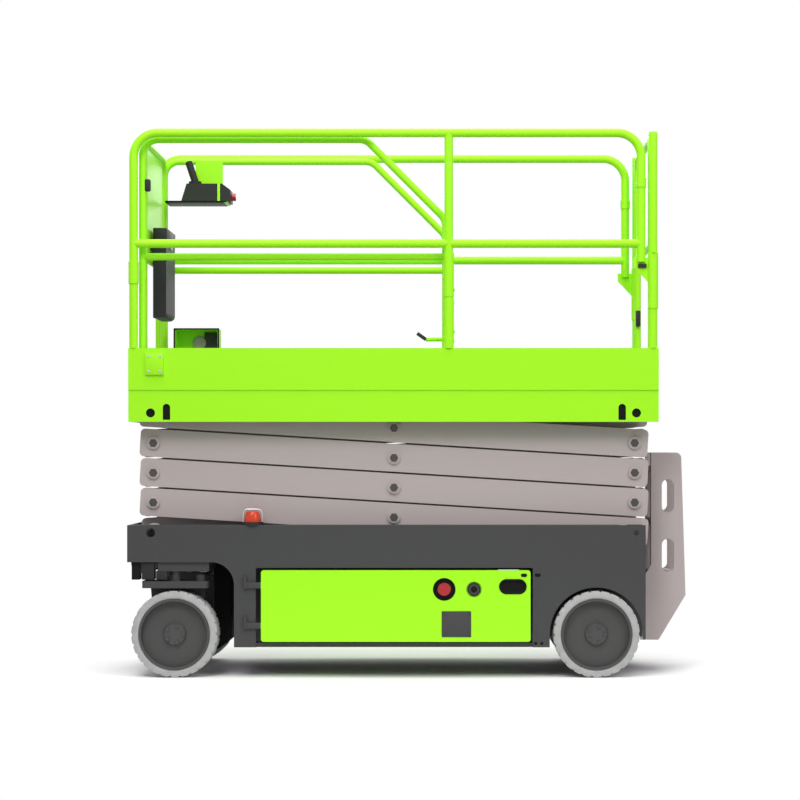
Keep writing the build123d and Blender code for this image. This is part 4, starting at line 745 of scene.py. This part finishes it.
for row, setback in enumerate(SWITCH_SETBACKS):
    turned(f"control_switch_{row}", (SWITCH_X, front_y + setback, top_z), UP, SWITCH_PROFILE, warm_grey_paint,
           "extension")

# Extension: cover, trim and panel of the outlet housing, lid and catch of the document box
OUTLET_X, OUTLET_Z = -1014, 1512
OUTLET_WALL = 5
OUTLET_COVER = ((34, -0.2), (34, 5), (30, 8), (30, 13), (26, 15))
OUTLET_TRIM_R = 5
COVER_PANEL_SETBACKS, COVER_PANEL_Z, COVER_PANEL_T = (78, 14), (1440, 1562), 12
LID_FRONT, LID_REAR, LID_SIDE, LID_TOP, LID_H = 0.5, 2.5, 2, 2.5, 62
HASP_PROUD, HASP_Y, HASP_DROPS = (1, 6), (-18, 18), (84, 48)

low, high = corners("outlet_box")
extension_floor_z = low[2]
back_y = high[1] - OUTLET_WALL
turned("outlet_cover", (OUTLET_X, back_y, OUTLET_Z), NEAR, OUTLET_COVER, warm_grey_paint, "extension")
mouth = ((low[0], low[2]), (low[0], high[2]), (high[0], high[2]), (high[0], low[2]))
bent_rod("outlet_trim", [(x, low[1], z) for x, z in mouth], OUTLET_TRIM_R, black_rubber, "extension")
slab("outlet_panel", x=[high[0] - setback for setback in COVER_PANEL_SETBACKS],
     y=(back_y - COVER_PANEL_T, back_y + SEAT), z=COVER_PANEL_Z, edge=2, finish=charcoal_paint,
     body="extension")
low, high = corners("document_box")
slab("document_lid", x=(low[0] - LID_FRONT, high[0] + LID_REAR), y=(low[1] - LID_SIDE, high[1] + LID_SIDE),
     z=(high[2] - LID_H, high[2] + LID_TOP), edge=4, finish=black_housing, body="extension")
slab("document_catch", x=[high[0] + proud for proud in HASP_PROUD], y=HASP_Y,
     z=[high[2] - drop for drop in HASP_DROPS], edge=1.5, finish=zinc_plate, body="extension")

# Walking surfaces: slanted raised bars on both decks, round studs on the ladder treads
BARS = {"Pitch": 32 * MM, "Bar length": 24 * MM, "Bar width": 7 * MM, "Bar height": 4 * MM, "Slant": pi / 4}
STUDS = {"Pitch": 24 * MM, "Bar length": 9 * MM, "Bar width": 9 * MM, "Bar height": 3 * MM, "Slant": 0.0}

deck_top_z = corners("deck_tread")[1][2]
WALKS = (
    ("deck_bars", (205, 1023), 670, deck_top_z, BARS, deck_plate, "platform"),
    ("extension_bars", (-1150, 150), 600, extension_floor_z, BARS, deck_plate, "extension"),
    ("ladder_studs_1", (1064, 1124), 250, 210, STUDS, warm_grey_paint, "chassis"),
    ("ladder_studs_2", (1096, 1202), 250, 450, STUDS, warm_grey_paint, "chassis"),
    ("ladder_studs_3", (1096, 1202), 250, 690, STUDS, warm_grey_paint, "chassis"),
    ("ladder_studs_4", (1096, 1202), 250, 930, STUDS, warm_grey_paint, "chassis"),
)

for name, (front, rear), width, level, relief, finish, body in WALKS:
    grow(name, tread_plate, [(spot((front + rear) / 2, 0, level), UP)], {
        **relief, "Length": (rear - front) * MM, "Width": width * MM, "Finish": finish,
    }, body)

# Stage: white floor that keeps the shadow, with a soft shadow painted into its colour under the machine, and
# fades into white surroundings
FLOOR_R = 12.0
FLOOR_SIDES = 96
FLOOR_WHITE = "#FAFAFA"
FLOOR_SPREAD, FLOOR_FADE = (1.5, 1.1), (0.85, 1.7)
# Painted shadow: a grey-mauve patch painted into the floor's colour under the machine, darkest in the middle
PAINTED_SHADOW = "#A096A4"
PAINTED_SHADOW_SPREAD, PAINTED_SHADOW_FADE = (1.25, 0.42), (0.55, 1.15)


def falloff(tree, place, spread, fade):
    """Share that rises smoothly from 0 to 1 with the distance from the middle, in an ellipse."""
    scaled = add(tree, "ShaderNodeVectorMath", {
        0: place.outputs["Object"], 1: (1 / spread[0], 1 / spread[1], 0.0),
    }, operation="MULTIPLY")
    distance = add(tree, "ShaderNodeVectorMath", {0: scaled.outputs["Vector"]}, operation="LENGTH")
    share = add(tree, "ShaderNodeMapRange", {
        "Value": distance.outputs["Value"], "From Min": fade[0], "From Max": fade[1],
    }, interpolation_type="SMOOTHSTEP")
    return share.outputs["Result"]


bpy.ops.mesh.primitive_circle_add(vertices=FLOOR_SIDES, radius=FLOOR_R, fill_type="NGON")
floor = bpy.context.object
floor.name = "studio_floor"
floor_finish, tree, shader = new_finish("matt white studio floor", FLOOR_WHITE, 0.9)
place = add(tree, "ShaderNodeTexCoord")
# Floor colour: painted shadow near the middle, white further out
floor_painted_shadow = add(tree, "ShaderNodeMix", {
    0: falloff(tree, place, PAINTED_SHADOW_SPREAD, PAINTED_SHADOW_FADE), 6: linear(PAINTED_SHADOW), 7: linear(FLOOR_WHITE),
}, data_type="RGBA")
tree.links.new(floor_painted_shadow.outputs[2], shader.inputs["Base Color"])
clear = add(tree, "ShaderNodeBsdfTransparent")
faded = add(tree, "ShaderNodeMixShader", {
    0: falloff(tree, place, FLOOR_SPREAD, FLOOR_FADE), 1: shader.outputs["BSDF"], 2: clear.outputs["BSDF"],
})
tree.links.new(faded.outputs[0], tree.nodes["Material Output"].inputs["Surface"])
floor.data.materials.append(floor_finish)

# Surroundings: full white to the eye and in reflections, softer as a light
WHITE = "#FFFFFF"
AMBIENT, BACKDROP = 0.38, 1.0

world = bpy.data.worlds.new("white studio")
bpy.context.scene.world = world
world.use_nodes = True
tree = world.node_tree
tree.nodes.clear()
path = add(tree, "ShaderNodeLightPath")
seen = add(tree, "ShaderNodeMath", {0: path.outputs["Is Camera Ray"], 1: path.outputs["Is Glossy Ray"]},
           operation="MAXIMUM")
seen = add(tree, "ShaderNodeMath", {0: seen.outputs[0], 1: path.outputs["Is Transmission Ray"]},
           operation="MAXIMUM")
ambient = add(tree, "ShaderNodeBackground", {"Color": linear(WHITE), "Strength": AMBIENT})
backdrop = add(tree, "ShaderNodeBackground", {"Color": linear(WHITE), "Strength": BACKDROP})
mixed = add(tree, "ShaderNodeMixShader", {
    0: seen.outputs[0], 1: ambient.outputs["Background"], 2: backdrop.outputs["Background"],
})
add(tree, "ShaderNodeOutputWorld", {"Surface": mixed.outputs[0]})

# Softboxes: three round the machine and a wide one high above the raised platform
SOFTBOXES = {
    "front_softbox": {"at": (-1.6, -5.2, 6.0), "size": 3.0, "power": 205.0},
    "side_softbox": {"at": (4.2, -4.6, 4.6), "size": 3.0, "power": 115.0},
    "back_softbox": {"at": (0.0, 6.0, 4.5), "size": 4.0, "power": 120.0},
    "top_softbox": {"at": (0.0, -1.1, 12.0), "size": 11.1, "power": 1060.0},
}
MACHINE_MIDDLE = Vector((0.0, 0.0, 1.1))

for name, box in SOFTBOXES.items():
    light = bpy.data.lights.new(name, "AREA")
    light.shape = "DISK"
    light.size = box["size"]
    light.energy = box["power"]
    lamp = bpy.data.objects.new(name, light)
    lamp.location = box["at"]
    lamp.rotation_euler = (MACHINE_MIDDLE - lamp.location).to_track_quat("-Z", "Y").to_euler()
    bpy.context.scene.collection.objects.link(lamp)

# Camera: square on to the near side, from the height of the scissor stack
CAMERA_AT = (0.1685, -8.890, 1.008)
LENS_MM = 86.8
SHIFT = (-0.060, 0.061)

lens = bpy.data.cameras.new("photo_camera")
lens.lens = LENS_MM
lens.shift_x, lens.shift_y = SHIFT
camera = bpy.data.objects.new("photo_camera", lens)
camera.location = CAMERA_AT
camera.rotation_euler = (pi / 2, 0.0, 0.0)
bpy.context.scene.collection.objects.link(camera)
bpy.context.scene.camera = camera
bpy.context.scene.view_settings.view_transform = "Standard"
